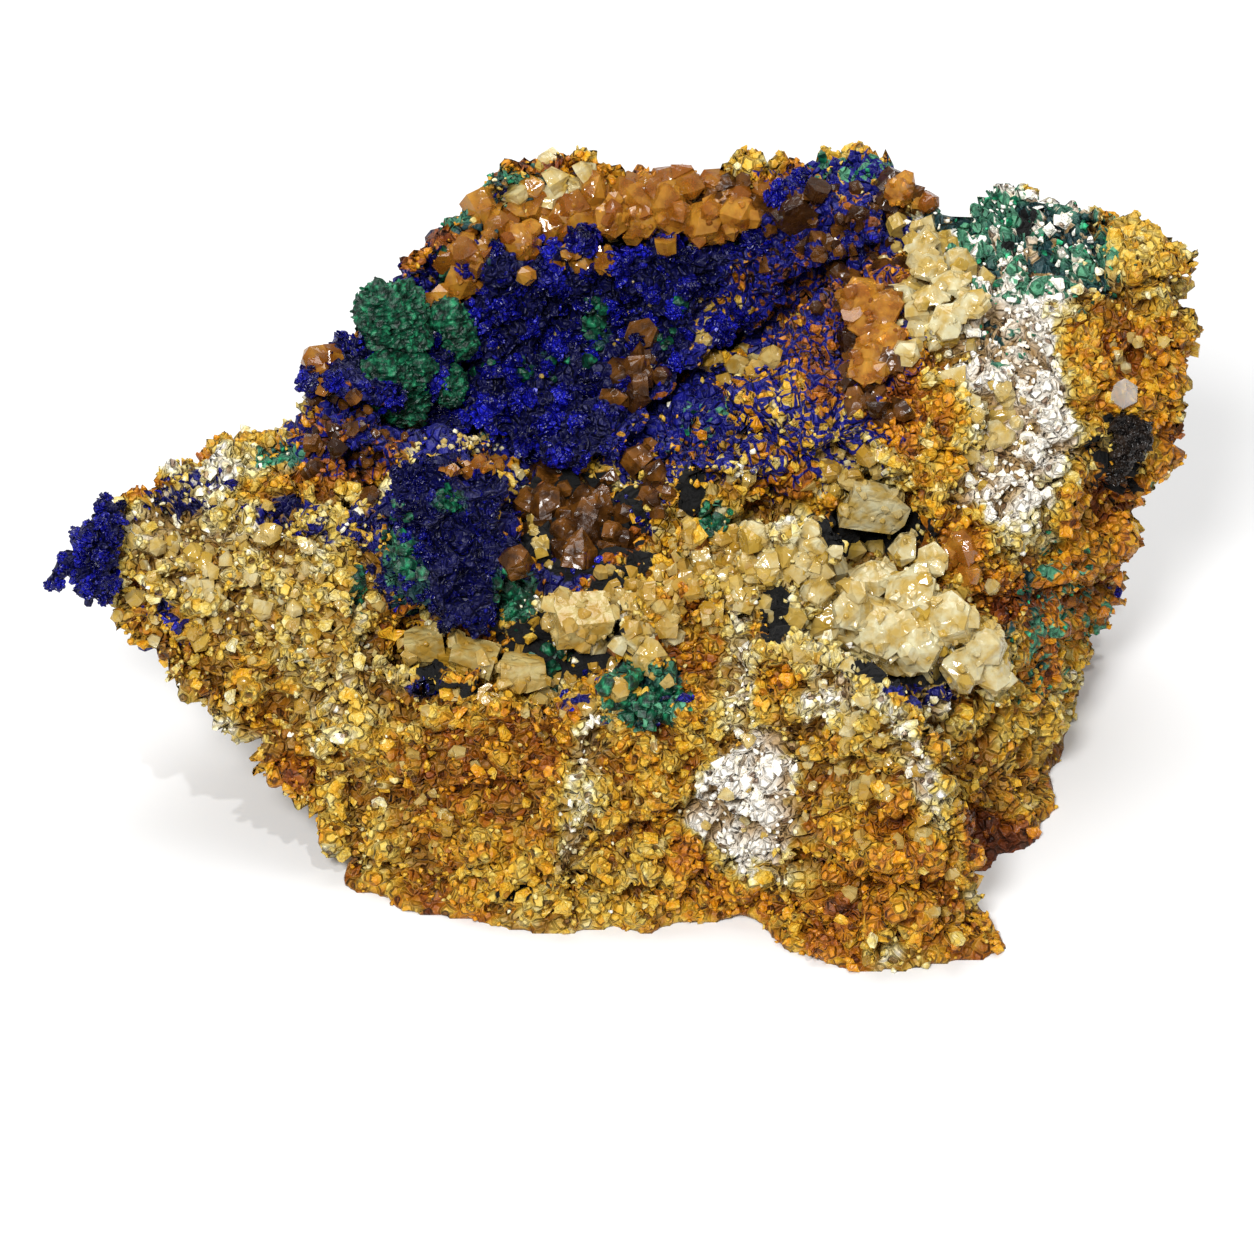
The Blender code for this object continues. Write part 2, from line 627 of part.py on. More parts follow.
def grow_hollow_crust(site):
    """The azurite in the hollow grows last, round all that stands there."""
    lumps = crust_lumps(site, HOLLOW_OUTLINE, **HOLLOW_LUMPS)
    crust = fused_lumps(site, "azurite_crust", lumps, CRUST_TRIANGLES)
    cut_clear(site, crust)
    add_voxel_remesh(crust, CRUST_VOXEL)
    add_decimate(crust, CRUST_TRIANGLES)
    crust = frozen(crust, "azurite_crust_cut", site.parts)
    for node in separate_pieces(crust, "azurite_crust", site.parts, SMALLEST_CRUST):
        finish(node, "azurite")


def centre_on_base(site):
    """Moves everything so that the origin is at the middle of the specimen's box, on its flat base."""
    corners = [Vector(corner) for obj in site.parts.objects for corner in obj.bound_box]
    middle = [(min(c[axis] for c in corners) + max(c[axis] for c in corners)) / 2 for axis in range(2)]
    for obj in list(site.parts.objects) + list(site.cutters.objects):
        obj.location = (-middle[0], -middle[1], 0)


def main():
    clear_scene()
    parts = bpy.data.collections.new("azurite_and_malachite_specimen")
    cutters = bpy.data.collections.new("cutters")
    for collection in (parts, cutters):
        bpy.context.scene.collection.children.link(collection)
    site = Site(parts, cutters, random.Random(SEED))
    make_matrix(site)
    grow_malachite(site)
    grow_azurite_knob(site)
    grow_manganese_tuft(site)
    grow_quartz_crystals(site)
    grow_quartz_blocks(site)
    grow_slab_face(site)
    grow_hollow_crust(site)
    centre_on_base(site)


main()
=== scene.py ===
"""How the azurite and malachite specimen looks: its rock, grains, crystals and mineral films.

The fixed frame holds the solids, in metres. Rock and azurite are rebuilt finely over them, and grains,
blades and crystals are set on that surface. Which mineral shows where is given as patches of the front
view. Each patch is carried back along the camera's line of sight onto the rock, so it stays in place
from every side.
"""

import math

import bmesh
import bpy
import numpy as np
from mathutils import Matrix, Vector, noise
from mathutils.bvhtree import BVHTree


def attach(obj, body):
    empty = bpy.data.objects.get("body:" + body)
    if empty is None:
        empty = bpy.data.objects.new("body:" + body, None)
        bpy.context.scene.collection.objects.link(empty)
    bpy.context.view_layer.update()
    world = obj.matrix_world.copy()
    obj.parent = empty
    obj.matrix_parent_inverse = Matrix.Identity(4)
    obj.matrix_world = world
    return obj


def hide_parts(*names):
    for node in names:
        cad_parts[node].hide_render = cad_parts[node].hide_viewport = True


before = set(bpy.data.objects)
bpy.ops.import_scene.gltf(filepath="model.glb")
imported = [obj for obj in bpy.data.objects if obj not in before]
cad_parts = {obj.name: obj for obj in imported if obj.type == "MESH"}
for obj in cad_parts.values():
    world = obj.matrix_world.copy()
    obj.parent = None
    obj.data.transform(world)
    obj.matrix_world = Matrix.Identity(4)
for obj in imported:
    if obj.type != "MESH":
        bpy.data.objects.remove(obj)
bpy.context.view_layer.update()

MM = 0.001
SEED = 41

# The camera, which stands where the photograph was taken from
PHOTO_SIZE = 1254
PHOTO_LENS = 4561.0  # in pixels of the photograph
SENSOR = 36.0
TILT = math.radians(35)
DISTANCE = 400 * MM
TARGET = Vector((-0.1, 3.0, 10.7)) * MM

# Studio lights: name, place, size and power
WORLD_LIGHT = 0.35
STUDIO_LIGHTS = [
    ("key_softbox", (-0.02, 0.26, 0.60), 0.46, 2.8),
    ("front_softbox", (-0.12, -0.42, 0.44), 0.14, 3.4),
    ("glint_lamp", (0.10, -0.30, 0.55), 0.02, 0.9),
]

# Fineness of the rebuilt surfaces
ROCK_VOXEL = 0.5 * MM
CRUST_VOXEL = 0.34 * MM
BALL_VOXEL = 0.2 * MM
PATCH_DEPTH = 5 * MM  # how far behind what shows a mineral patch reaches
CRUST_BACKING = 2 * MM  # rock this near to a crust's solid is sunk behind it
CRUST_CLEAR = 1.3 * MM  # how far grains keep from a crust's solid
BASE_CLEAR = 0.02 * MM  # how high above the flat base grains begin

# How many small things grow, and their least and greatest radius in mm
ROSETTE_BLADES = 54
CRUMBS = 260
BALL_CRUMB_RADII = (0.18, 0.50)
TUFT_CRUMB_RADII = (0.25, 1.00)
BLADE_RADII = (0.22, 0.64)
GROWTH_RADII = (0.25, 1.05)

# Mineral patches: across and down in the photograph's pixels, half width, half height, turn in degrees,
# and how much of the patch the mineral covers.
AZURITE_PATCHES = [
    (190, 495, 55, 22, -15, 0.45), (300, 520, 60, 20, 10, 0.5), (370, 525, 26, 30, 0, 0.55),
    (165, 615, 42, 14, 45, 0.4), (140, 662, 18, 12, 30, 0.9), (560, 345, 200, 130, -12, 1.0),
    (350, 425, 60, 38, 0, 0.5), (455, 540, 74, 92, 12, 1.0), (470, 438, 60, 24, 0, 1.0),
    (577, 562, 50, 26, -25, 0.9), (800, 270, 80, 85, -40, 0.2), (770, 440, 120, 58, -12, 0.25),
    (850, 205, 60, 34, 0, 0.55), (690, 430, 62, 44, -20, 0.35), (640, 480, 34, 55, 0, 0.45),
    (620, 700, 70, 28, 0, 0.3), (430, 688, 26, 10, 0, 0.8), (925, 690, 42, 14, 0, 0.6),
    (510, 665, 34, 14, 0, 0.6), (890, 230, 26, 22, 0, 0.7), (905, 300, 20, 20, 0, 0.5),
]
MALACHITE_PATCHES = [
    (500, 208, 62, 42, -38, 0.5), (1000, 222, 90, 42, 14, 0.6), (1065, 250, 64, 46, 30, 0.58),
    (470, 215, 30, 26, -38, 0.6), (1000, 275, 50, 30, 0, 0.42), (1110, 640, 30, 50, 0, 0.4),
    (530, 362, 34, 12, 0, 0.35), (600, 330, 13, 22, 0, 0.5), (515, 592, 20, 32, 0, 0.8),
    (405, 570, 20, 52, -14, 0.7), (358, 590, 10, 34, 0, 0.35), (645, 694, 44, 38, 0, 0.65),
    (1050, 620, 40, 82, 10, 0.35), (1000, 340, 36, 26, 0, 0.3), (860, 168, 56, 14, 0, 0.7),
    (282, 455, 24, 10, -15, 0.9), (728, 215, 12, 18, 0, 0.5), (712, 520, 18, 18, 0, 0.6),
    (452, 500, 22, 14, 0, 0.5), (538, 670, 30, 22, 0, 0.5), (985, 205, 40, 24, 0, 0.6),
]

# Patches of rock with how pale it is there: 0 is dark brown, 0.25 rust, 0.45 ochre, 0.65 buff, 1 white.
# Some patches stand partly for light and shade: paler on ridges as painted light, darker in recesses as
# painted shade.
TONE_PATCHES = [
    (1016, 425, 50, 130, -4, 1.4), (960, 300, 50, 62, 20, 1.05), (745, 802, 46, 64, 22, 1.4),
    (1010, 240, 96, 56, 14, 1.4), (500, 210, 50, 34, -38, 0.8), (855, 545, 60, 30, 0, 0.7),
    (1010, 735, 70, 44, 0, 0.66), (700, 655, 46, 40, 0, 0.54), (738, 665, 18, 60, 0, 0.95),
    (1145, 265, 50, 50, 0, 0.85), (1140, 370, 50, 40, 0, 0.32), (480, 870, 110, 34, 8, 0.6),
    (620, 860, 50, 60, 0, 0.64), (578, 800, 16, 84, 8, 1.0), (830, 705, 30, 32, 0, 1.0),
    (225, 560, 100, 56, 0, 0.86), (530, 158, 50, 16, 0, 0.28), (620, 172, 110, 12, 6, 0.3),
    (735, 690, 22, 50, 0, 0.86), (400, 705, 60, 26, 0, 0.68), (240, 610, 90, 60, 0, 0.62),
    (690, 880, 40, 40, 0, 0.2), (640, 800, 30, 60, 0, 0.5), (330, 560, 60, 60, 0, 0.72),
    (870, 760, 30, 60, 20, 0.8), (560, 205, 34, 28, 0, 0.95), (1035, 505, 28, 50, 0, 0.85),
    (765, 560, 70, 52, 0, 0.82),
    (300, 640, 120, 90, 0, 0.76), (180, 500, 50, 16, -20, 0.96), (880, 640, 100, 50, 0, 0.8),
    (480, 790, 90, 76, 0, 0.47), (655, 760, 52, 44, 0, 0.5), (900, 855, 96, 60, 32, 0.46),
    (365, 800, 50, 50, 0, 0.62), (420, 890, 90, 24, 8, 0.48), (640, 880, 70, 40, 0, 0.66),
    (1125, 350, 60, 66, 0, 0.5), (1150, 248, 60, 34, 25, 0.42), (1085, 560, 62, 90, 0, 0.33),
    (240, 685, 60, 30, 25, 0.38), (402, 630, 28, 30, 0, 0.34), (474, 465, 40, 12, -8, 0.24),
    (285, 488, 40, 18, 0, 0.46), (900, 400, 26, 60, 0, 0.3), (960, 430, 34, 44, 0, 0.4),
    (850, 780, 56, 60, 0, 0.45), (350, 440, 50, 44, 0, 0.1), (840, 300, 72, 120, -30, 0.1),
    (1005, 755, 66, 46, 0, 0.48), (990, 850, 60, 36, 0, 0.14), (932, 800, 116, 15, 66, 1.1),
    (430, 215, 26, 110, 45, 0.18), (575, 530, 62, 56, 0, 0.06),
    (640, 380, 34, 28, 0, 0.2), (750, 370, 36, 26, 0, 0.5), (860, 475, 46, 30, 0, 0.72),
    (440, 720, 90, 34, 0, 0.55), (600, 900, 120, 34, 0, 0.62), (960, 935, 50, 30, 0, 0.42),
    (700, 500, 60, 40, 0, 0.6), (1000, 560, 30, 40, 0, 0.4), (120, 640, 50, 40, 0, 0.55),
]
# Black: partly manganese oxide, partly painted shadow in holes and cavities, such as under the cream block
# and below the slab's ledge.
BLACK_OXIDE_AND_SHADOW_PATCHES = [
    (1026, 222, 9, 15, 30, 0.8), (1010, 245, 7, 6, 0, 0.7), (515, 893, 18, 12, 0, 0.5),
    (870, 528, 56, 26, 0, 1.0), (775, 612, 16, 26, 0, 0.9), (578, 520, 60, 50, 0, 1.0),
    (430, 655, 22, 26, 0, 0.6), (1118, 455, 30, 40, 0, 0.5), (620, 575, 40, 16, -25, 0.8),
    (560, 645, 66, 34, -5, 0.66), (900, 672, 50, 12, 8, 0.7), (690, 490, 14, 30, 0, 0.6),
    (455, 690, 30, 8, 0, 0.6),
]
DEFAULT_TONE = 0.6
DEFAULT_WEIGHT = 0.35  # against 1 for the middle of a patch

# Boxwork, where azurite grows as a net over brown rock
NET_PATCHES = [
    (830, 235, 72, 74, -35, 0.6), (760, 320, 60, 90, 30, 0.8), (850, 330, 70, 90, 0, 0.45),
    (700, 430, 80, 50, -15, 0.9), (800, 440, 80, 44, 0, 0.7), (350, 430, 60, 46, 0, 0.6),
    (850, 180, 60, 26, 0, 0.8),
]

# Where few grains lie loose and the glassy, pitted skin of the rock shows
BARE_PATCHES = [
    (470, 800, 120, 90, 0, 0.8), (655, 780, 60, 80, 0, 0.6), (880, 840, 100, 110, 25, 0.8),
    (1000, 800, 66, 90, 0, 0.9), (1090, 560, 60, 100, 0, 0.6), (820, 300, 80, 130, -30, 0.7),
    (350, 440, 60, 50, 0, 0.5), (1120, 300, 60, 50, 0, 0.5), (290, 490, 50, 30, 0, 0.5),
    (260, 690, 70, 40, 25, 0.5), (700, 650, 60, 50, 0, 0.5),
]

# Crystals on the surface: kind, patch of the photograph, how many, and least and greatest radius in mm
CRYSTAL_PATCHES = [
    ("honey", (600, 200, 150, 18, -4), 60, 0.7, 1.9), ("brown", (740, 205, 60, 22, 0), 36, 0.7, 1.8),
    ("honey", (470, 250, 46, 14, -40), 22, 0.6, 1.5), ("brown", (872, 360, 30, 74, 0), 46, 0.7, 1.6),
    ("brown", (640, 375, 32, 26, 0), 20, 0.8, 1.7), ("brown", (575, 520, 50, 44, 0), 46, 0.8, 2.0),
    ("yellow", (740, 365, 34, 22, 0), 18, 0.7, 1.4), ("brown", (905, 190, 22, 34, 0), 14, 0.8, 1.8),
    ("brown", (665, 480, 30, 34, 0), 16, 0.7, 1.6), ("honey", (315, 365, 18, 20, 0), 8, 0.7, 1.4),
    ("brown", (830, 250, 80, 90, -30), 46, 0.5, 1.1), ("brown", (350, 440, 56, 44, 0), 40, 0.4, 1.0),
    ("honey", (930, 560, 40, 30, 0), 14, 0.7, 1.6), ("pale", (560, 195, 36, 22, 0), 30, 0.6, 1.4),
    ("pale", (940, 300, 40, 60, 0), 44, 0.5, 1.5), ("pale", (930, 245, 40, 30, 0), 16, 0.6, 1.4),
    ("pale", (800, 560, 60, 40, 20), 44, 0.5, 1.5), ("pale", (900, 630, 90, 52, 10), 70, 0.7, 2.0),
    ("pale", (1000, 420, 34, 60, 0), 30, 0.4, 1.1), ("pale", (220, 570, 100, 70, 0), 70, 0.4, 1.0),
    ("pale", (745, 800, 50, 60, 0), 10, 0.4, 0.8), ("yellow", (560, 680, 120, 40, 5), 40, 0.4, 1.2),
    ("yellow", (700, 560, 60, 50, 0), 70, 0.4, 1.1), ("yellow", (870, 480, 46, 34, 0), 24, 0.5, 1.2),
    ("yellow", (640, 600, 60, 36, 0), 40, 0.4, 1.2), ("yellow", (480, 790, 150, 90, 0), 30, 0.4, 0.9),
    ("pale", (740, 560, 50, 60, -20), 70, 0.3, 1.0), ("pale", (860, 480, 40, 26, 0), 40, 0.3, 0.9),
    ("yellow", (900, 820, 90, 110, 20), 30, 0.4, 0.9), ("yellow", (300, 640, 120, 80, 0), 30, 0.4, 0.8),
    ("honey", (590, 255, 60, 16, -8), 18, 0.5, 1.2), ("pale", (1150, 320, 40, 60, 0), 16, 0.3, 0.8),
    ("pale", (860, 740, 50, 60, 0), 22, 0.4, 1.0), ("pale", (640, 640, 60, 30, 0), 14, 0.6, 1.6),
    ("honey", (476, 466, 34, 6, -8), 26, 0.3, 0.8), ("pale", (530, 515, 7, 52, -18), 44, 0.25, 0.7),
    ("pale", (470, 441, 30, 10, 0), 60, 0.15, 0.35), ("pale", (600, 335, 130, 60, -14), 24, 0.12, 0.3),
    ("malachite", (592, 325, 14, 26, 0), 34, 0.3, 0.8), ("malachite", (515, 370, 40, 12, 10), 34, 0.3, 0.7),
    ("malachite", (682, 307, 10, 8, 0), 8, 0.3, 0.7), ("malachite", (660, 336, 12, 8, 0), 8, 0.3, 0.7),
    ("malachite", (452, 272, 8, 20, 0), 16, 0.4, 0.9), ("malachite", (722, 234, 16, 5, 40), 14, 0.3, 0.6),
    ("malachite", (412, 418, 16, 7, 0), 14, 0.4, 0.8), ("malachite", (405, 560, 12, 40, -14), 50, 0.3, 0.8),
    ("malachite", (515, 590, 16, 26, 0), 50, 0.3, 0.8), ("malachite", (645, 694, 36, 26, 0), 60, 0.3, 0.8),
    ("malachite", (448, 500, 16, 12, 0), 20, 0.3, 0.6), ("malachite", (712, 522, 14, 14, 0), 20, 0.3, 0.7),
    ("malachite", (540, 665, 26, 14, 0), 24, 0.3, 0.7), ("malachite", (362, 590, 6, 26, 0), 14, 0.3, 0.6),
]


# Camera, lights and floor

def photo_axes():
    right = Vector((1, 0, 0))
    back = Vector((0, -math.cos(TILT), math.sin(TILT)))
    return right, back.cross(right), back


def make_camera():
    data = bpy.data.cameras.new("photo_camera")
    data.sensor_width = SENSOR
    data.lens = PHOTO_LENS * SENSOR / PHOTO_SIZE
    data.clip_start = 0.01
    camera = bpy.data.objects.new("photo_camera", data)
    bpy.context.scene.collection.objects.link(camera)
    back = photo_axes()[2]
    camera.location = TARGET + back * DISTANCE
    camera.rotation_mode = "QUATERNION"
    camera.rotation_quaternion = (-back).to_track_quat("-Z", "Y")
    bpy.context.scene.camera = camera


def add_area_light(name, place, size, power):
    data = bpy.data.lights.new(name, "AREA")
    data.size = size
    data.energy = power
    light = bpy.data.objects.new(name, data)
    light.location = place
    light.rotation_mode = "QUATERNION"
    light.rotation_quaternion = (TARGET - Vector(place)).to_track_quat("-Z", "Y")
    bpy.context.scene.collection.objects.link(light)


def make_studio():
    world = bpy.data.worlds.new("soft_studio")
    world.use_nodes = True
    world.node_tree.nodes["Background"].inputs["Color"].default_value = (1, 1, 1, 1)
    world.node_tree.nodes["Background"].inputs["Strength"].default_value = WORLD_LIGHT
    bpy.context.scene.world = world
    bpy.context.scene.view_settings.view_transform = "Standard"
    for name, place, size, power in STUDIO_LIGHTS:
        add_area_light(name, place, size, power)
    bpy.ops.mesh.primitive_plane_add(size=6)
    floor = bpy.context.object
    floor.name = "floor"
    material = bpy.data.materials.new("pale_floor")
    material.use_nodes = True
    shader = material.node_tree.nodes["Principled BSDF"]
    shader.inputs["Base Color"].default_value = (0.75, 0.75, 0.75, 1)
    shader.inputs["Roughness"].default_value = 0.9
    shader.inputs["Specular IOR Level"].default_value = 0.0
    floor.data.materials.append(material)


# Meshes as arrays

def corners_of(mesh):
    points = np.empty(len(mesh.vertices) * 3, np.float32)
    mesh.vertices.foreach_get("co", points)
    return points.reshape(-1, 3).astype(float)


def normals_of(mesh):
    directions = np.empty(len(mesh.vertices) * 3, np.float32)
    mesh.vertex_normals.foreach_get("vector", directions)
    return directions.reshape(-1, 3).astype(float)


def surface_of(mesh):
    """A mesh as a surface to cast rays on and to find nearest points of."""
    return BVHTree.FromPolygons([v.co for v in mesh.vertices], [p.vertices[:] for p in mesh.polygons])


def remeshed(mesh, voxel, name):
    """A finer copy of a mesh with even faces."""
    helper = bpy.data.objects.new("helper", mesh.copy())
    bpy.context.scene.collection.objects.link(helper)
    fuse = helper.modifiers.new("fuse", "REMESH")
    fuse.mode = "VOXEL"
    fuse.voxel_size = voxel
    graph = bpy.context.evaluated_depsgraph_get()
    fine = bpy.data.meshes.new_from_object(helper.evaluated_get(graph))
    fine.name = name
    bpy.data.objects.remove(helper, do_unlink=True)
    return fine


def joined(meshes, name):
    bm = bmesh.new()
    for mesh in meshes:
        bm.from_mesh(mesh)
    made = bpy.data.meshes.new(name)
    bm.to_mesh(made)
    bm.free()
    return made


def mesh_of(name, points, triangles):
    mesh = bpy.data.meshes.new(name)
    mesh.vertices.add(len(points))
    mesh.vertices.foreach_set("co", points.astype(np.float32).ravel())
    mesh.loops.add(triangles.size)
    mesh.loops.foreach_set("vertex_index", triangles.astype(np.int32).ravel())
    mesh.polygons.add(len(triangles))
    mesh.polygons.foreach_set("loop_start", np.arange(0, triangles.size, 3, dtype=np.int32))
    mesh.update(calc_edges=True)
    mesh.shade_flat()
    return mesh


def set_layer(mesh, name, values):
    layer = mesh.attributes.new(name, "FLOAT", "POINT")
    layer.data.foreach_set("value", np.asarray(values, np.float32))


def set_corners(mesh, points):
    mesh.vertices.foreach_set("co", points.astype(np.float32).ravel())
    mesh.update()


def add_piece(name, mesh, material, replaced=()):
    """A finished piece of the specimen, which rides on its one body."""
    piece = bpy.data.objects.new(name, mesh)
    bpy.context.scene.collection.objects.link(piece)
    mesh.materials.clear()
    mesh.materials.append(material)
    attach(piece, "root")
    if replaced:
        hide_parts(*replaced)


# Fields over the surface

def noise_at(points, size, shift=0.0):
    """Smooth noise from -1 to 1 with swells of about the given size."""
    scaled = points / size + shift
    return np.array([noise.noise(Vector(p)) for p in scaled])


def cells_at(points, size, shift=0.0):
    """Distance to the nearest and to the second nearest cell middle, in cell sizes."""
    scaled = points / size + shift
    found = [noise.voronoi(Vector(p))[0] for p in scaled]
    return np.array([d[0] for d in found]), np.array([d[1] for d in found])


def smooth_step(low, high, values):
    t = np.clip((values - low) / (high - low), 0, 1)
    return t * t * (3 - 2 * t)


def in_photo(points):
    """Where points show in the photograph, in pixels."""
    right, up, back = (np.array(axis) for axis in photo_axes())
    offset = points - np.array(TARGET)
    depth = DISTANCE - offset @ back
    across = PHOTO_SIZE / 2 + PHOTO_LENS * (offset @ right) / depth
    down = PHOTO_SIZE / 2 - PHOTO_LENS * (offset @ up) / depth
    return across, down


def seen_at(surface, across, down):
    """The point of a surface that shows at a pixel of the photograph, and the surface's normal there."""
    right, up, back = photo_axes()
    eye = TARGET + back * DISTANCE
    x = (across - PHOTO_SIZE / 2) / PHOTO_LENS
    y = (PHOTO_SIZE / 2 - down) / PHOTO_LENS
    point, normal, _, _ = surface.ray_cast(eye, (right * x + up * y - back).normalized())
    return point, normal


def seen_share(surface, points):
    """1 for points that show from the camera, falling to 0 a few millimetres behind what shows there."""
    eye = TARGET + photo_axes()[2] * DISTANCE
    behind = []
    for point in points.tolist():
        line = Vector(point) - eye
        distance = surface.ray_cast(eye, line.normalized())[3]
        behind.append(line.length - distance if distance else 0.0)
    return smooth_step(PATCH_DEPTH, 0.5 * PATCH_DEPTH, np.array(behind))


def patch_cover(points, patches, ragged):
    """For each patch, how far each point is inside it: 1 in its middle, 0 outside. The edge is ragged."""
    across, down = in_photo(points)
    covers = []
    for x, y, wide, high, turn, _ in patches:
        angle = math.radians(turn)
        u = (across - x) * math.cos(angle) + (down - y) * math.sin(angle)
        v = (down - y) * math.cos(angle) - (across - x) * math.sin(angle)
        radius = np.sqrt((u / wide) ** 2 + (v / high) ** 2) + ragged
        covers.append(smooth_step(1.25, 0.75, radius))
    return covers


def mineral_fields(surface, points):
    """How pale the rock is at each point, and how much azurite, malachite and black covers it. The black is
    partly manganese oxide and partly painted shadow in holes.
    """
    ragged = 0.35 * noise_at(points, 2.2 * MM) + 0.25 * noise_at(points, 0.9 * MM, 7.0)
    tone = DEFAULT_TONE + 0.3 * noise_at(points, 9 * MM, 3.0) + 0.35 * noise_at(points, 3 * MM, 5.0)
    tone *= DEFAULT_WEIGHT
    weight = np.full(len(points), DEFAULT_WEIGHT)
    seen = seen_share(surface, points)
    for patch, cover in zip(TONE_PATCHES, patch_cover(points, TONE_PATCHES, ragged)):
        tone += seen * cover * patch[5]
        weight += seen * cover
    fields = {"tone": tone / weight}
    covers = {"azurite": AZURITE_PATCHES, "malachite": MALACHITE_PATCHES, "black": BLACK_OXIDE_AND_SHADOW_PATCHES,
              "net": NET_PATCHES, "bare": BARE_PATCHES}
    for name, patches in covers.items():
        amount = np.zeros(len(points))
        for patch, cover in zip(patches, patch_cover(points, patches, ragged)):
            amount = np.maximum(amount, cover * patch[5])
        fields[name] = seen * amount
    behind = smooth_step(0.0, 14 * MM, points[:, 1]) * smooth_step(30 * MM, 26 * MM, points[:, 2])
    fields["malachite"] = np.maximum(
        fields["malachite"], 0.5 * behind * smooth_step(0.3, 0.5, noise_at(points, 9 * MM, 11.0)))
    fields["azurite"] = np.maximum(
        fields["azurite"], 0.5 * behind * smooth_step(0.36, 0.5, noise_at(points, 7 * MM, 17.0)))
    return fields


# Small grains and blades

def hull_template(rng, corners, stretch):
    """Corners and triangles of a convex grain about a unit in radius."""
    bm = bmesh.new()
    for _ in range(corners):
        direction = rng.normal(size=3)
        direction /= np.linalg.norm(direction)
        bm.verts.new(direction * stretch * rng.uniform(0.82, 1.1))
    result = bmesh.ops.convex_hull(bm, input=bm.verts)
    loose = [v for v in result["geom_interior"] if isinstance(v, bmesh.types.BMVert)]
    bmesh.ops.delete(bm, geom=loose, context="VERTS")
    bmesh.ops.recalc_face_normals(bm, faces=bm.faces)
    bm.verts.index_update()
    points = np.array([v.co[:] for v in bm.verts])
    triangles = np.array([[v.index for v in f.verts] for f in bm.faces])
    bm.free()
    return points, triangles


def blade_template(rng):
    """A flat six-sided blade with a sharp edge."""
    ring = [(math.cos(a), math.sin(a) * 0.7) for a in np.arange(6) * math.pi / 3 + rng.uniform(0, 0.4)]
    thick = rng.uniform(0.16, 0.3)
    points = [(0.62 * x, 0.62 * y, thick) for x, y in ring] + [(x, y, -thick * 0.4) for x, y in ring]
    triangles = [(0, i, i + 1) for i in range(1, 5)]
    for i in range(6):
        j = (i + 1) % 6
        triangles += [(i, 6 + i, 6 + j), (i, 6 + j, j)]
    triangles += [(6, 6 + i + 1, 6 + i) for i in range(1, 5)]
    return np.array(points), np.array(triangles)


def crystal_template(rng):
    """A stubby six-sided quartz crystal with a pointed end that is a little off its middle."""
    angles = np.arange(6) * math.pi / 3 + rng.uniform(-0.16, 0.16, 6)
    shoulder = rng.uniform(0.05, 0.5) + rng.uniform(-0.16, 0.16, 6)
    points = [(math.cos(a), math.sin(a), -0.7) for a in angles]
    points += [(0.9 * math.cos(a), 0.9 * math.sin(a), z) for a, z in zip(angles, shoulder)]
    points.append((*rng.uniform(-0.3, 0.3, 2), rng.uniform(0.8, 1.15)))
    triangles = [(0, i + 1, i) for i in range(1, 5)]
    for i in range(6):
        j = (i + 1) % 6
        triangles += [(i, j, 6 + j), (i, 6 + j, 6 + i), (6 + i, 6 + j, 12)]
    return np.array(points), np.array(triangles)


def rosette_template(rng):
    """A round lump of azurite, bristling with blades that stand on edge."""
    directions = rng.normal(size=(ROSETTE_BLADES, 3))
    directions /= np.linalg.norm(directions, axis=1)[:, None]
    sizes = rng.uniform(0.22, 0.42, ROSETTE_BLADES)
    frames = turned_frames(rng.normal(size=(ROSETTE_BLADES, 3)), rng, 0.1)
    blades = [blade_template(rng) for _ in range(5)]
    points, triangles, _ = copies_of(blades, directions * 0.82, frames, sizes, rng)
    core_points, core_triangles = hull_template(rng, 16, np.full(3, 0.86))
    return np.concatenate([points, core_points]), np.concatenate([triangles, core_triangles + len(points)])


def spots_on(mesh, count, rng):
    """Points spread over a mesh by area, with the normals of the faces they are on."""
    mesh.calc_loop_triangles()
    indices = np.empty(len(mesh.loop_triangles) * 3, np.int32)
    mesh.loop_triangles.foreach_get("vertices", indices)
    a, b, c = (corners_of(mesh)[indices.reshape(-1, 3)[:, k]] for k in range(3))
    cross = np.cross(b - a, c - a)
    area = np.linalg.norm(cross, axis=1)
    chosen = np.searchsorted(np.cumsum(area), (np.arange(count) + rng.random(count)) / count * area.sum())
    chosen = np.minimum(chosen, len(area) - 1)
    s = np.sqrt(rng.random(count))[:, None]
    t = rng.random(count)[:, None]
    points = (1 - s) * a[chosen] + s * (1 - t) * b[chosen] + s * t * c[chosen]
    return points, cross[chosen] / np.maximum(area[chosen], 1e-12)[:, None]


def radii_between(limits, count, rng, power=2):
    """Radii between two limits in mm. The higher the power, the more of them are small."""
    least, greatest = limits
    return (least + (greatest - least) * rng.random(count) ** power) * MM


def spaced(places, sizes, share):
    """The first places that keep at least a share of their own and their neighbour's size apart."""
    kept = []
    for i, place in enumerate(places):
        if all(np.linalg.norm(place - places[j]) > share * (sizes[i] + sizes[j]) for j in kept):
            kept.append(i)
    return np.array(kept)


def turned_frames(normals, rng, lean):
    """For each normal a random frame whose third axis is near it, as rows of three axes."""
    up = normals + rng.normal(size=normals.shape) * lean
    up /= np.linalg.norm(up, axis=1)[:, None]
    side = np.cross(up, rng.normal(size=normals.shape))
    side /= np.linalg.norm(side, axis=1)[:, None]
    return np.stack([side, np.cross(up, side), up], axis=1)


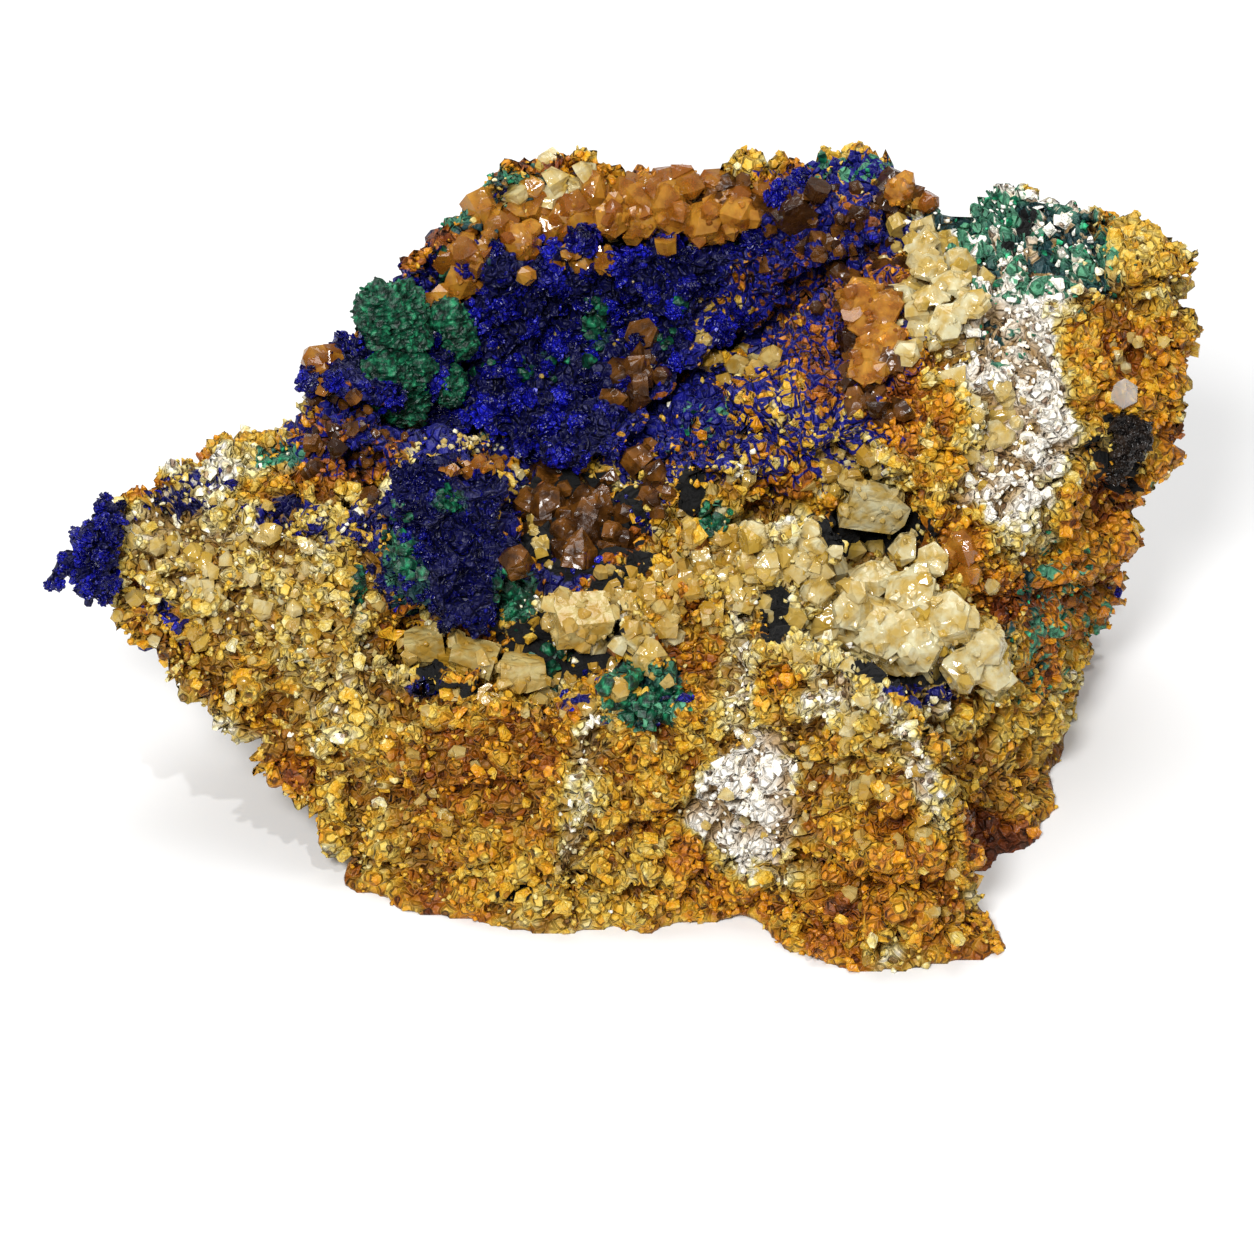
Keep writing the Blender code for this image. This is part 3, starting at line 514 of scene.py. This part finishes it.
def copies_of(templates, places, frames, sizes, rng):
    """Corners and triangles of a template turned, sized and set at each place, and whose each corner is."""
    kinds = rng.integers(len(templates), size=len(places))
    points, triangles, owners, base = [], [], [], 0
    for kind, (corners, faces) in enumerate(templates):
        mine = np.flatnonzero(kinds == kind)
        placed = (corners[None] * sizes[mine, None, None]) @ frames[mine] + places[mine, None]
        points.append(placed.reshape(-1, 3))
        offsets = base + np.arange(len(mine)) * len(corners)
        triangles.append((faces[None] + offsets[:, None, None]).reshape(-1, 3))
        owners.append(np.repeat(mine, len(corners)))
        base += len(mine) * len(corners)
    return np.concatenate(points), np.concatenate(triangles), np.concatenate(owners)


def scattered(name, templates, places, frames, sizes, layers, rng):
    """One mesh of many small solids, with values held per solid."""
    points, triangles, owners = copies_of(templates, places, frames, sizes, rng)
    points[:, 2] = np.maximum(points[:, 2], 0)
    mesh = mesh_of(name, points, triangles)
    for key, values in layers.items():
        set_layer(mesh, key, values[owners])
    return mesh


# Materials

def add_node(tree, kind, inputs=None, **settings):
    """A node with its settings. Each of its inputs is linked to a given output or set to a value."""
    node = tree.nodes.new(kind)
    for key, value in settings.items():
        setattr(node, key, value)
    for key, value in (inputs or {}).items():
        if isinstance(value, bpy.types.NodeSocket):
            tree.links.new(value, node.inputs[key])
        else:
            node.inputs[key].default_value = value
    return node


def object_place(tree):
    return add_node(tree, "ShaderNodeTexCoord").outputs["Object"]


def add_noise(tree, place, scale, detail):
    inputs = {"Vector": place, "Scale": scale, "Detail": detail}
    return add_node(tree, "ShaderNodeTexNoise", inputs).outputs["Fac"]


def edge_distance(tree, place, scale):
    """Distance to the nearest edge between the cells of a pattern."""
    inputs = {"Vector": place, "Scale": scale}
    return add_node(tree, "ShaderNodeTexVoronoi", inputs, feature="DISTANCE_TO_EDGE").outputs["Distance"]


def share_of(tree, value, low, high):
    """0 at low, 1 at high and even between them."""
    inputs = {"Value": value, "From Min": low, "From Max": high}
    return add_node(tree, "ShaderNodeMapRange", inputs).outputs[0]


def add_ramp(tree, factor, stops):
    node = add_node(tree, "ShaderNodeValToRGB", {"Fac": factor})
    ramp = node.color_ramp
    while len(ramp.elements) < len(stops):
        ramp.elements.new(0.5)
    for element, (place, colour) in zip(ramp.elements, stops):
        element.position = place
        element.color = (*colour, 1)
    return node.outputs["Color"]


def add_layer(tree, name):
    return add_node(tree, "ShaderNodeAttribute", attribute_name=name).outputs["Fac"]


def mixed(tree, factor, first, second, blend="MIX"):
    """Two colours mixed. The colour sockets of the node are its inputs 6 and 7 and its output 2."""
    inputs = {0: factor, 6: first, 7: second}
    return add_node(tree, "ShaderNodeMix", inputs, data_type="RGBA", blend_type=blend).outputs[2]


def calculated(tree, operation, *values):
    return add_node(tree, "ShaderNodeMath", dict(enumerate(values)), operation=operation).outputs[0]


def varied(tree, value, change, amount):
    """A value made higher or lower by a change that is 0.5 on average."""
    return calculated(tree, "MULTIPLY_ADD", calculated(tree, "SUBTRACT", change, 0.5), amount, value)


def scaled_stops(stops, bright):
    return [(place, tuple(bright * part for part in colour)) for place, colour in stops]


def new_group(name, inputs, outputs):
    """An empty node group with named inputs and outputs, its input node and its output node."""
    group = bpy.data.node_groups.new(name, "ShaderNodeTree")
    for label, kind, value in inputs:
        socket = group.interface.new_socket(label, in_out="INPUT", socket_type=kind)
        socket.default_value = value
    for label, kind in outputs:
        group.interface.new_socket(label, in_out="OUTPUT", socket_type=kind)
    return group, group.nodes.new("NodeGroupInput").outputs, group.nodes.new("NodeGroupOutput").inputs


def make_mottle_group():
    """Cloudy variation of a colour, for stains and for cloudy crystal."""
    group, given, put = new_group(
        "mottle",
        [("Color", "NodeSocketColor", (1, 1, 1, 1)), ("Dark", "NodeSocketColor", (0, 0, 0, 1)),
         ("Size", "NodeSocketFloat", 600.0), ("Amount", "NodeSocketFloat", 0.5)],
        [("Color", "NodeSocketColor")])
    clouds = add_noise(group, object_place(group), given["Size"], 5.0)
    factor = calculated(group, "MULTIPLY", share_of(group, clouds, 0.38, 0.62), given["Amount"])
    group.links.new(mixed(group, factor, given["Color"], given["Dark"]), put["Color"])
    return group


def make_relief_group():
    """Fine grain and pits as a height, for the bump of rock and crystals."""
    group, given, put = new_group(
        "fine_relief",
        [("Grain Size", "NodeSocketFloat", 1800.0), ("Cell Size", "NodeSocketFloat", 1200.0)],
        [("Height", "NodeSocketFloat"), ("Gap", "NodeSocketFloat"), ("Cell", "NodeSocketFloat"),
         ("Pit", "NodeSocketFloat")])
    place = object_place(group)
    bend = add_node(group, "ShaderNodeTexNoise", {"Vector": place, "Scale": 900.0, "Detail": 2.0})
    shift = {0: bend.outputs["Color"], "Scale": 0.6 * MM}
    shift = add_node(group, "ShaderNodeVectorMath", shift, operation="SCALE").outputs[0]
    bent = add_node(group, "ShaderNodeVectorMath", {0: place, 1: shift}, operation="ADD").outputs[0]
    grain = add_noise(group, place, given["Grain Size"], 4.0)
    cells = add_node(group, "ShaderNodeTexVoronoi", {"Vector": bent, "Scale": given["Cell Size"]})
    random = add_node(group, "ShaderNodeSeparateColor", {"Color": cells.outputs["Color"]}).outputs[0]
    inner = share_of(group, edge_distance(group, bent, given["Cell Size"]), 0.02, 0.22)
    holes = add_node(group, "ShaderNodeTexVoronoi", {"Vector": bent, "Scale": 620.0})
    depth = calculated(group, "MULTIPLY_ADD", grain, 0.3, holes.outputs["Distance"])
    pit = share_of(group, depth, 0.40, 0.32)
    height = calculated(group, "MULTIPLY_ADD", grain, 0.45, calculated(group, "MULTIPLY", inner, 0.55))
    height = calculated(group, "SUBTRACT", height, pit)
    group.links.new(pit, put["Pit"])
    group.links.new(height, put["Height"])
    group.links.new(calculated(group, "SUBTRACT", 1.0, inner), put["Gap"])
    group.links.new(random, put["Cell"])
    return group


GROUPS = {"mottle": make_mottle_group(), "fine_relief": make_relief_group()}


def add_group(tree, name, inputs):
    return add_node(tree, "ShaderNodeGroup", inputs, node_tree=GROUPS[name]).outputs


def new_material(name, settings):
    """A material with its Principled BSDF's plain values set. Returns it, its tree and the shader."""
    material = bpy.data.materials.new(name)
    material.use_nodes = True
    tree = material.node_tree
    shader = tree.nodes["Principled BSDF"]
    for key, value in settings.items():
        shader.inputs[key].default_value = value
    return material, tree, shader


def add_bump(tree, shader, height, depth):
    bump = add_node(tree, "ShaderNodeBump", {"Height": height, "Distance": depth, "Strength": 1.0})
    tree.links.new(bump.outputs["Normal"], shader.inputs["Normal"])


ROCK_STOPS = [
    (0.0, (0.025, 0.013, 0.009)), (0.12, (0.11, 0.040, 0.014)), (0.26, (0.33, 0.090, 0.008)),
    (0.42, (0.62, 0.24, 0.004)), (0.56, (0.66, 0.37, 0.02)), (0.7, (0.64, 0.47, 0.09)),
    (0.84, (0.74, 0.66, 0.33)), (1.0, (0.98, 0.96, 0.88)),
]
AZURITE_BLUE = (0.006, 0.008, 0.28, 1)
AZURITE_DARK = (0.001, 0.001, 0.04, 1)
MALACHITE_GREEN = (0.004, 0.11, 0.045, 1)
MALACHITE_PALE = (0.16, 0.50, 0.28, 1)
OXIDE_AND_SHADOW_BLACK = (0.004, 0.004, 0.004, 1)

# Painted shade: tints that darken low places, pits and the low places of films
LOW_PAINTED_SHADE = (0.40, 0.24, 0.08, 1)
PIT_PAINTED_SHADE = (0.22, 0.10, 0.03, 1)
FILM_PAINTED_SHADE = (0.12, 0.14, 0.30, 1)


def make_rock_material():
    """Stained rock with painted shade in its low places, gaps and pits. Azurite, malachite and oxide lie over
    it as films; the black is partly painted shadow.
    """
    material, tree, shader = new_material("iron_stained_rock", {"Specular IOR Level": 0.4})
    place = object_place(tree)
    fine = add_noise(tree, place, 900.0, 6.0)
    relief = add_group(tree, "fine_relief", {"Grain Size": 1500.0, "Cell Size": 1000.0})
    tone = varied(tree, add_layer(tree, "tone"), fine, 0.5)
    tone = varied(tree, tone, relief["Cell"], 0.22)
    colour = add_ramp(tree, tone, ROCK_STOPS)
    # Painted shade: the rock is darkened in the gaps between its cells and in its low places.
    gaps = calculated(tree, "MULTIPLY", relief["Gap"], 0.4)
    low = calculated(tree, "MAXIMUM", gaps, add_layer(tree, "low"))
    colour = mixed(tree, calculated(tree, "MULTIPLY", low, 0.95), colour, LOW_PAINTED_SHADE, "MULTIPLY")
    # Painted shade in the pits of the relief.
    colour = mixed(tree, calculated(tree, "MULTIPLY", relief["Pit"], 0.8), colour, PIT_PAINTED_SHADE, "MULTIPLY")
    veil = add_noise(tree, place, 650.0, 3.0)
    spread = calculated(tree, "MULTIPLY_ADD", relief["Cell"], 0.35, veil)
    spread = calculated(tree, "SUBTRACT", spread, 1.08)
    films = [("azurite", AZURITE_DARK, AZURITE_BLUE), ("malachite", MALACHITE_GREEN, MALACHITE_PALE)]
    for layer, deep, pale in films:
        # The films get painted shade in the low places too.
        film = mixed(tree, low, mixed(tree, fine, deep, pale), FILM_PAINTED_SHADE, "MULTIPLY")
        edge = calculated(tree, "ADD", add_layer(tree, layer), spread)
        colour = mixed(tree, share_of(tree, edge, 0.0, 0.06), colour, film)
    net = add_layer(tree, "net")
    cords = calculated(tree, "MULTIPLY_ADD", veil, 0.34, edge_distance(tree, place, 780.0))
    cords = calculated(tree, "SUBTRACT", calculated(tree, "MULTIPLY_ADD", net, 0.2, 0.2), cords)
    cords = share_of(tree, cords, 0.02, 0.05)
    cords = calculated(tree, "MULTIPLY", cords, calculated(tree, "GREATER_THAN", net, 0.1))
    colour = mixed(tree, cords, colour, mixed(tree, fine, AZURITE_DARK, AZURITE_BLUE))
    # The black is partly manganese oxide and partly painted shadow in holes and cavities.
    black = calculated(tree, "MULTIPLY_ADD", relief["Cell"], 0.4, add_layer(tree, "black"))
    black = share_of(tree, black, 0.5, 0.6)
    colour = mixed(tree, black, colour, OXIDE_AND_SHADOW_BLACK)
    tree.links.new(colour, shader.inputs["Base Color"])
    tree.links.new(calculated(tree, "MULTIPLY_ADD", black, 0.5, 0.48), shader.inputs["Roughness"])
    add_bump(tree, shader, relief["Height"], 0.8 * MM)
    return material


def make_grain_material():
    """Quartz grains: glassy and pale, or stained, by each grain's tone."""
    material, tree, shader = new_material(
        "quartz_grain", {"Roughness": 0.34, "Specular IOR Level": 0.4})
    fine = add_noise(tree, object_place(tree), 1400.0, 4.0)
    colour = add_ramp(tree, varied(tree, add_layer(tree, "tone"), fine, 0.5), ROCK_STOPS)
    relief = add_group(tree, "fine_relief", {"Grain Size": 2600.0, "Cell Size": 2000.0})
    # Painted shade in the cracks and pits of each grain.
    low = calculated(tree, "MAXIMUM", calculated(tree, "MULTIPLY", relief["Gap"], 0.12), relief["Pit"])
    colour = mixed(tree, calculated(tree, "MULTIPLY", low, 0.75), colour, (0.35, 0.18, 0.06, 1), "MULTIPLY")
    tree.links.new(colour, shader.inputs["Base Color"])
    add_bump(tree, shader, relief["Height"], 0.12 * MM)
    return material


def make_azurite_material(name, bright):
    """Azurite with a share of the brightest blue."""
    material, tree, shader = new_material(name, {"Roughness": 0.26, "Specular IOR Level": 0.32})
    clouds = add_noise(tree, object_place(tree), 420.0, 4.0)
    blues = [(0.34, (0.001, 0.001, 0.035)), (0.5, (0.004, 0.004, 0.19)), (0.68, (0.016, 0.020, 0.56))]
    colour = add_ramp(tree, clouds, scaled_stops(blues, bright))
    relief = add_group(tree, "fine_relief", {"Grain Size": 3000.0, "Cell Size": 2200.0})
    # Painted shade in the cracks between the blades.
    colour = mixed(tree, relief["Gap"], colour, (0.12, 0.12, 0.3, 1), "MULTIPLY")
    tree.links.new(colour, shader.inputs["Base Color"])
    add_bump(tree, shader, relief["Height"], 0.12 * MM)
    return material


def make_malachite_material(name, bright):
    """Silky fibres in bands."""
    material, tree, shader = new_material(name, {"Roughness": 0.42, "Specular IOR Level": 0.4})
    bands = add_noise(tree, object_place(tree), 1500.0, 5.0)
    greens = [(0.4, (0.0, 0.012, 0.006)), (0.54, (0.002, 0.06, 0.028)), (0.72, (0.02, 0.26, 0.11))]
    colour = add_ramp(tree, bands, scaled_stops(greens, bright))
    tree.links.new(colour, shader.inputs["Base Color"])
    add_bump(tree, shader, bands, 0.3 * MM)
    return material


def make_crystal_material(name, clear, dark, settings, uneven=0.08):
    """Glassy quartz with cloudy stains inside. Its faces are uneven by so many millimetres."""
    values = {"Roughness": 0.12, "IOR": 1.54, "Transmission Weight": 0.45}
    values.update(settings)
    material, tree, shader = new_material(name, values)
    colour = add_group(tree, "mottle", {"Color": clear, "Dark": dark, "Size": 700.0, "Amount": 0.85})["Color"]
    colour = mixed(tree, add_layer(tree, "tone"), colour, dark)
    tree.links.new(colour, shader.inputs["Base Color"])
    relief = add_group(tree, "fine_relief", {"Grain Size": 1800.0, "Cell Size": 900.0})
    add_bump(tree, shader, relief["Height"], uneven * MM)
    return material


def make_manganese_material():
    material, tree, shader = new_material("manganese_oxide", {"Roughness": 0.3, "Specular IOR Level": 0.3})
    stain = {
        "Color": (0.006, 0.005, 0.005, 1), "Dark": (0.03, 0.018, 0.012, 1), "Size": 1200.0, "Amount": 0.7}
    tree.links.new(add_group(tree, "mottle", stain)["Color"], shader.inputs["Base Color"])
    relief = add_group(tree, "fine_relief", {"Grain Size": 2500.0, "Cell Size": 2000.0})
    add_bump(tree, shader, relief["Height"], 0.2 * MM)
    return material


MATERIALS = {
    "rock": make_rock_material(),
    "grain": make_grain_material(),
    "azurite": make_azurite_material("azurite", 1.0),
    "deep_azurite": make_azurite_material("deep_azurite", 0.45),
    "brown": make_crystal_material(
        "brown_quartz", (0.30, 0.11, 0.015, 1), (0.03, 0.010, 0.003, 1),
        {"Roughness": 0.22, "Specular IOR Level": 0.3}),
    "malachite": make_malachite_material("malachite", 1.0),
    "bright_malachite": make_malachite_material("bright_malachite", 2.4),
    "manganese": make_manganese_material(),
    "honey": make_crystal_material(
        "honey_quartz", (0.90, 0.44, 0.05, 1), (0.40, 0.12, 0.010, 1), {"Transmission Weight": 0.6}, 0.03),
    "pale": make_crystal_material(
        "pale_quartz", (0.80, 0.74, 0.46, 1), (0.60, 0.38, 0.05, 1), {"Transmission Weight": 0.35}),
    "yellow": make_crystal_material(
        "yellow_quartz", (0.62, 0.50, 0.20, 1), (0.48, 0.26, 0.02, 1),
        {"Roughness": 0.2, "Transmission Weight": 0.3}),
    "clear": make_crystal_material(
        "clear_quartz", (0.95, 0.95, 0.93, 1), (0.86, 0.85, 0.8, 1),
        {"Transmission Weight": 0.7, "Roughness": 0.05}, 0.01),
}


# The rock

CRUST_NODES = ["azurite_crust_1", "azurite_crust_2", "azurite_slab_face"]
crust_mesh = joined([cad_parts[node].data for node in CRUST_NODES], "crusts")
crust_surface = surface_of(crust_mesh)
bpy.data.meshes.remove(crust_mesh)


def crust_distance(points):
    """How far each point is from the azurite crusts' solids."""
    return np.array([crust_surface.find_nearest(p)[3] for p in points.tolist()])


def make_rock_skin():
    """The rock's surface with its swells, ledges and pits. The flat base stays flat."""
    mesh = remeshed(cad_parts["matrix"].data, ROCK_VOXEL, "rock")
    points = corners_of(mesh)
    large, next_large = cells_at(points, 7 * MM, 9.0)
    near, next_near = cells_at(points, 3.0 * MM)
    small, next_small = cells_at(points, 1.4 * MM, 4.0)
    push = 1.1 * noise_at(points, 6 * MM) + 0.9 * noise_at(points, 1.8 * MM, 2.0)
    push += 2.0 * (0.45 - large) + 1.7 * (0.45 - near) + 0.9 * (0.45 - small)
    push -= 1.3 * smooth_step(0.12, 0.0, next_large - large)
    push -= 1.2 * smooth_step(0.14, 0.0, next_near - near) + 0.5 * smooth_step(0.14, 0.0, next_small - small)
    push -= 2.0 * smooth_step(0.25, 0.48, noise_at(points, 2.8 * MM, 13.0))
    push = np.clip(push, -3.4, 0.9)
    # Painted shade: the sunken places are stored as the layer low, which darkens the rock's colour there.
    low = smooth_step(-0.1, -1.9, push)
    push = np.where(crust_distance(points) < CRUST_BACKING, np.minimum(push, 0) - 0.4, push)
    push *= MM * smooth_step(0.1 * MM, 2.0 * MM, points[:, 2])
    points += normals_of(mesh) * push[:, None]
    points[:, 2] = np.maximum(points[:, 2], 0)
    set_corners(mesh, points)
    set_layer(mesh, "low", low)
    return mesh


rock_mesh = make_rock_skin()
rock_surface = surface_of(rock_mesh)
for layer_name, layer_values in mineral_fields(rock_surface, corners_of(rock_mesh)).items():
    set_layer(rock_mesh, layer_name, layer_values)
rock_mesh.shade_smooth()
add_piece("rock", rock_mesh, MATERIALS["rock"], ["matrix"])


def make_grains(name, count, radii, worn, rng):
    """Quartz grains over the rock, sharp or worn round. In mineral patches they are blue or green."""
    places, normals = spots_on(rock_mesh, count, rng)
    fields = mineral_fields(rock_surface, places)
    draw = rng.random(count)
    lifted = (places[:, 2] > BASE_CLEAR) & (crust_distance(places) > CRUST_CLEAR)
    blue = lifted & (draw < 0.75 * fields["azurite"] * (1 - 0.7 * fields["net"]))
    green = lifted & ~blue & (rng.random(count) < 0.8 * fields["malachite"])
    empty = np.maximum(fields["black"], np.maximum(0.95 * fields["net"], 0.8 * fields["bare"]))
    plain = lifted & ~blue & ~green & (rng.random(count) > 0.9 * empty)
    sizes = radii_between(radii, count, rng)
    tones = np.clip(fields["tone"] + rng.normal(size=count) * 0.05 + 0.2 * (rng.random(count) < 0.08), 0, 1)
    centres = places + normals * (sizes * 0.2)[:, None]
    frames = turned_frames(normals, rng, 0.9)
    templates = [hull_template(rng, 11, np.array((1.0, 0.85, 0.75))) for _ in range(16)]
    blades = [blade_template(rng) for _ in range(8)]
    mesh = scattered(
        name, templates, centres[plain], frames[plain], sizes[plain], {"tone": tones[plain]}, rng)
    if worn:
        mesh.shade_smooth()
    add_piece(name, mesh, MATERIALS["grain"])
    mesh = scattered(
        f"{name}_azurite", blades + templates[:3], centres[blue], frames[blue], sizes[blue] * 0.85, {}, rng)
    add_piece(f"{name}_azurite", mesh, MATERIALS["azurite"])
    mesh = scattered(
        f"{name}_malachite", templates, centres[green], frames[green], sizes[green] * 0.7, {}, rng)
    add_piece(f"{name}_malachite", mesh, MATERIALS["bright_malachite"])


make_grains("coarse_grains", 5200, (0.36, 1.05), False, np.random.default_rng(SEED))
make_grains("middle_grains", 9500, (0.28, 0.60), True, np.random.default_rng(SEED + 1))
make_grains("small_grains", 10500, (0.18, 0.36), True, np.random.default_rng(SEED + 2))


# Azurite, malachite and manganese

crust_skins = []


def make_azurite(name, nodes, look, rosettes, rosette_radii, blades, rng):
    """A crust of azurite over its solids: a lumpy skin with rosettes and small blades on it."""
    mesh = remeshed(joined([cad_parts[node].data for node in nodes], name), CRUST_VOXEL, name)
    points = corners_of(mesh)
    near, next_near = cells_at(points, 4.2 * MM, 1.0)
    small, next_small = cells_at(points, 1.5 * MM, 6.0)
    push = 1.4 * (0.3 - near) - 1.3 * smooth_step(0.22, 0.0, next_near - near)
    push += 0.8 * (0.4 - small) - 0.3 * smooth_step(0.15, 0.0, next_small - small)
    push += 0.3 * noise_at(points, 1.2 * MM, 8.0)
    points += normals_of(mesh) * (push * MM)[:, None]
    set_corners(mesh, points)
    fields = mineral_fields(rock_surface, points)
    fields["azurite"] = 1 - 0.9 * fields["net"]
    for key, values in fields.items():
        set_layer(mesh, key, values)
    # Painted shade: the crust's skin is darkened nearly to black between the rosettes, less where the net is.
    set_layer(mesh, "low", 1 - 0.8 * fields["net"])
    add_piece(name, mesh, MATERIALS["rock"], nodes)
    crust_skins.append(mesh)
    places, normals = spots_on(mesh, 8 * rosettes, rng)
    sizes = radii_between(rosette_radii, 8 * rosettes, rng, 1.5)
    kept = spaced(places, sizes, 0.9)[:rosettes]
    kept = kept[rng.random(len(kept)) > 0.9 * mineral_fields(rock_surface, places[kept])["net"]]
    frames = turned_frames(normals[kept], rng, 0.6)
    templates = [rosette_template(rng) for _ in range(4)]
    lumps = scattered(f"{name}_rosettes", templates, places[kept], frames, sizes[kept], {}, rng)
    add_piece(f"{name}_rosettes", lumps, MATERIALS[look])
    places, normals = spots_on(mesh, blades, rng)
    kept = rng.random(blades) > 0.8 * mineral_fields(rock_surface, places)["net"]
    sizes = radii_between(BLADE_RADII, blades, rng)
    templates = [blade_template(rng) for _ in range(12)]
    frames = turned_frames(normals, rng, 0.8)
    places += normals * (sizes * 0.3)[:, None]
    mesh = scattered(f"{name}_blades", templates, places[kept], frames[kept], sizes[kept], {}, rng)
    add_piece(f"{name}_blades", mesh, MATERIALS[look])


make_azurite("hollow_azurite", ["azurite_crust_1", "azurite_crust_2"], "azurite", 120, (0.9, 2.6), 1100,
             np.random.default_rng(SEED + 3))
make_azurite("slab_azurite", ["azurite_slab_face"], "deep_azurite", 60, (0.35, 0.7), 700,
             np.random.default_rng(SEED + 4))
make_azurite("tip_azurite", ["azurite_tip_cluster"], "azurite", 40, (0.5, 1.1), 150,
             np.random.default_rng(SEED + 5))


def make_malachite_balls(rng):
    for node in sorted(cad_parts):
        if not node.startswith("malachite_ball"):
            continue
        mesh = remeshed(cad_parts[node].data, BALL_VOXEL, f"{node}_fibres")
        points = corners_of(mesh)
        ridges = 1 - np.abs(noise_at(points * np.array((1, 0.5, 2.2)), 0.9 * MM)) * 2
        push = 0.55 * ridges + 0.5 * noise_at(points, 1.5 * MM, 3.0) + 0.2 * noise_at(points, 0.5 * MM)
        points += normals_of(mesh) * (push * MM)[:, None]
        set_corners(mesh, points)
        add_piece(f"{node}_fibres", mesh, MATERIALS["malachite"], [node])
        places, normals = spots_on(mesh, CRUMBS, rng)
        sizes = radii_between(BALL_CRUMB_RADII, CRUMBS, rng)
        templates = [hull_template(rng, 9, np.array((1.0, 0.6, 0.5))) for _ in range(6)]
        frames = turned_frames(normals, rng, 0.7)
        crumbs = scattered(f"{node}_crumbs", templates, places, frames, sizes, {}, rng)
        add_piece(f"{node}_crumbs", crumbs, MATERIALS["malachite"])


make_malachite_balls(np.random.default_rng(SEED + 8))


def make_manganese_tuft(rng):
    mesh = remeshed(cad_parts["manganese_tuft"].data, BALL_VOXEL, "manganese_body")
    points = corners_of(mesh)
    push = 0.9 * noise_at(points, 1.8 * MM) + 0.5 * noise_at(points, 0.8 * MM, 5.0) - 0.2
    set_corners(mesh, points + normals_of(mesh) * (push * MM)[:, None])
    add_piece("manganese_body", mesh, MATERIALS["manganese"], ["manganese_tuft"])
    places, normals = spots_on(mesh, CRUMBS, rng)
    sizes = radii_between(TUFT_CRUMB_RADII, CRUMBS, rng)
    templates = [hull_template(rng, 9, np.array((0.55, 0.6, 1.2))) for _ in range(6)]
    templates.append(blade_template(rng))
    frames = turned_frames(normals, rng, 0.9)
    crumbs = scattered("manganese_crumbs", templates, places, frames, sizes, {}, rng)
    add_piece("manganese_crumbs", crumbs, MATERIALS["manganese"])


make_manganese_tuft(np.random.default_rng(SEED + 6))


# Crystals: the large ones keep their solids' shape, and small ones grow on them and on the rock

CRYSTAL_KINDS = {
    "honey": "honey", "amber": "honey", "cream": "pale", "pale": "pale", "rose": "pale",
    "yellow": "yellow", "clear": "clear",
}
CRYSTAL_SLOTS = {
    "honey": "honey_quartz", "brown": "honey_quartz", "pale": "pale_quartz", "yellow": "yellow_quartz",
    "malachite": "malachite",
}
GROWTH_PER_MM2 = {"honey": 0.42, "pale": 0.34, "yellow": 0.34}

for node_name, node_object in sorted(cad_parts.items()):
    kind = CRYSTAL_KINDS.get(node_name.split("_")[0])
    if kind:
        node_object.data.materials.clear()
        node_object.data.materials.append(MATERIALS[kind])
        node_object.data.shade_flat()


def grown_on_solids(kind, rng):
    """Places, normals and radii of the small crystals on the solids of one kind."""
    places, normals, sizes = [], [], []
    for name, node in sorted(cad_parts.items()):
        if CRYSTAL_KINDS.get(name.split("_")[0]) != kind:
            continue
        area = sum(polygon.area for polygon in node.data.polygons) / MM ** 2
        grown, facing = spots_on(node.data, max(4, int(area * GROWTH_PER_MM2[kind])), rng)
        places.extend(grown)
        normals.extend(facing)
        sizes.extend(radii_between(GROWTH_RADII, len(grown), rng))
    return places, normals, sizes


def grown_in_patches(kind, surface, rng):
    """Places, normals and radii of the small crystals in the patches of one kind."""
    places, normals, sizes = [], [], []
    for own_kind, (x, y, wide, high, turn), count, least, greatest in CRYSTAL_PATCHES:
        if own_kind != kind:
            continue
        angle = math.radians(turn)
        for _ in range(count):
            along, across = rng.normal(size=2) * 0.5 * np.array((wide, high))
            point, normal = seen_at(
                surface, x + along * math.cos(angle) - across * math.sin(angle),
                y + along * math.sin(angle) + across * math.cos(angle))
            if point is None:
                continue
            places.append(point)
            normals.append(normal)
            sizes.append(radii_between((least, greatest), None, rng, 1.5))
    return places, normals, sizes


def make_crystals(rng):
    """Small crystals on the large ones and in the patches of the front view, each kind one piece."""
    base = joined([rock_mesh, *crust_skins], "growth_base")
    surface = surface_of(base)
    bpy.data.meshes.remove(base)
    for kind, slot in CRYSTAL_SLOTS.items():
        on_solids = grown_on_solids(kind, rng)
        in_patches = grown_in_patches(kind, surface, rng)
        places, normals, sizes = (np.array(a + b) for a, b in zip(on_solids, in_patches))
        templates = [crystal_template(rng) for _ in range(10)]
        templates += [hull_template(rng, 9, np.ones(3)) for _ in range(4)]
        mesh = scattered(
            f"{kind}_crystals", templates, places, turned_frames(normals, rng, 0.6), sizes,
            {"tone": rng.random(len(sizes)) ** 1.5}, rng)
        add_piece(f"{kind}_crystals", mesh, MATERIALS[kind])


make_crystals(np.random.default_rng(SEED + 7))
make_camera()
make_studio()
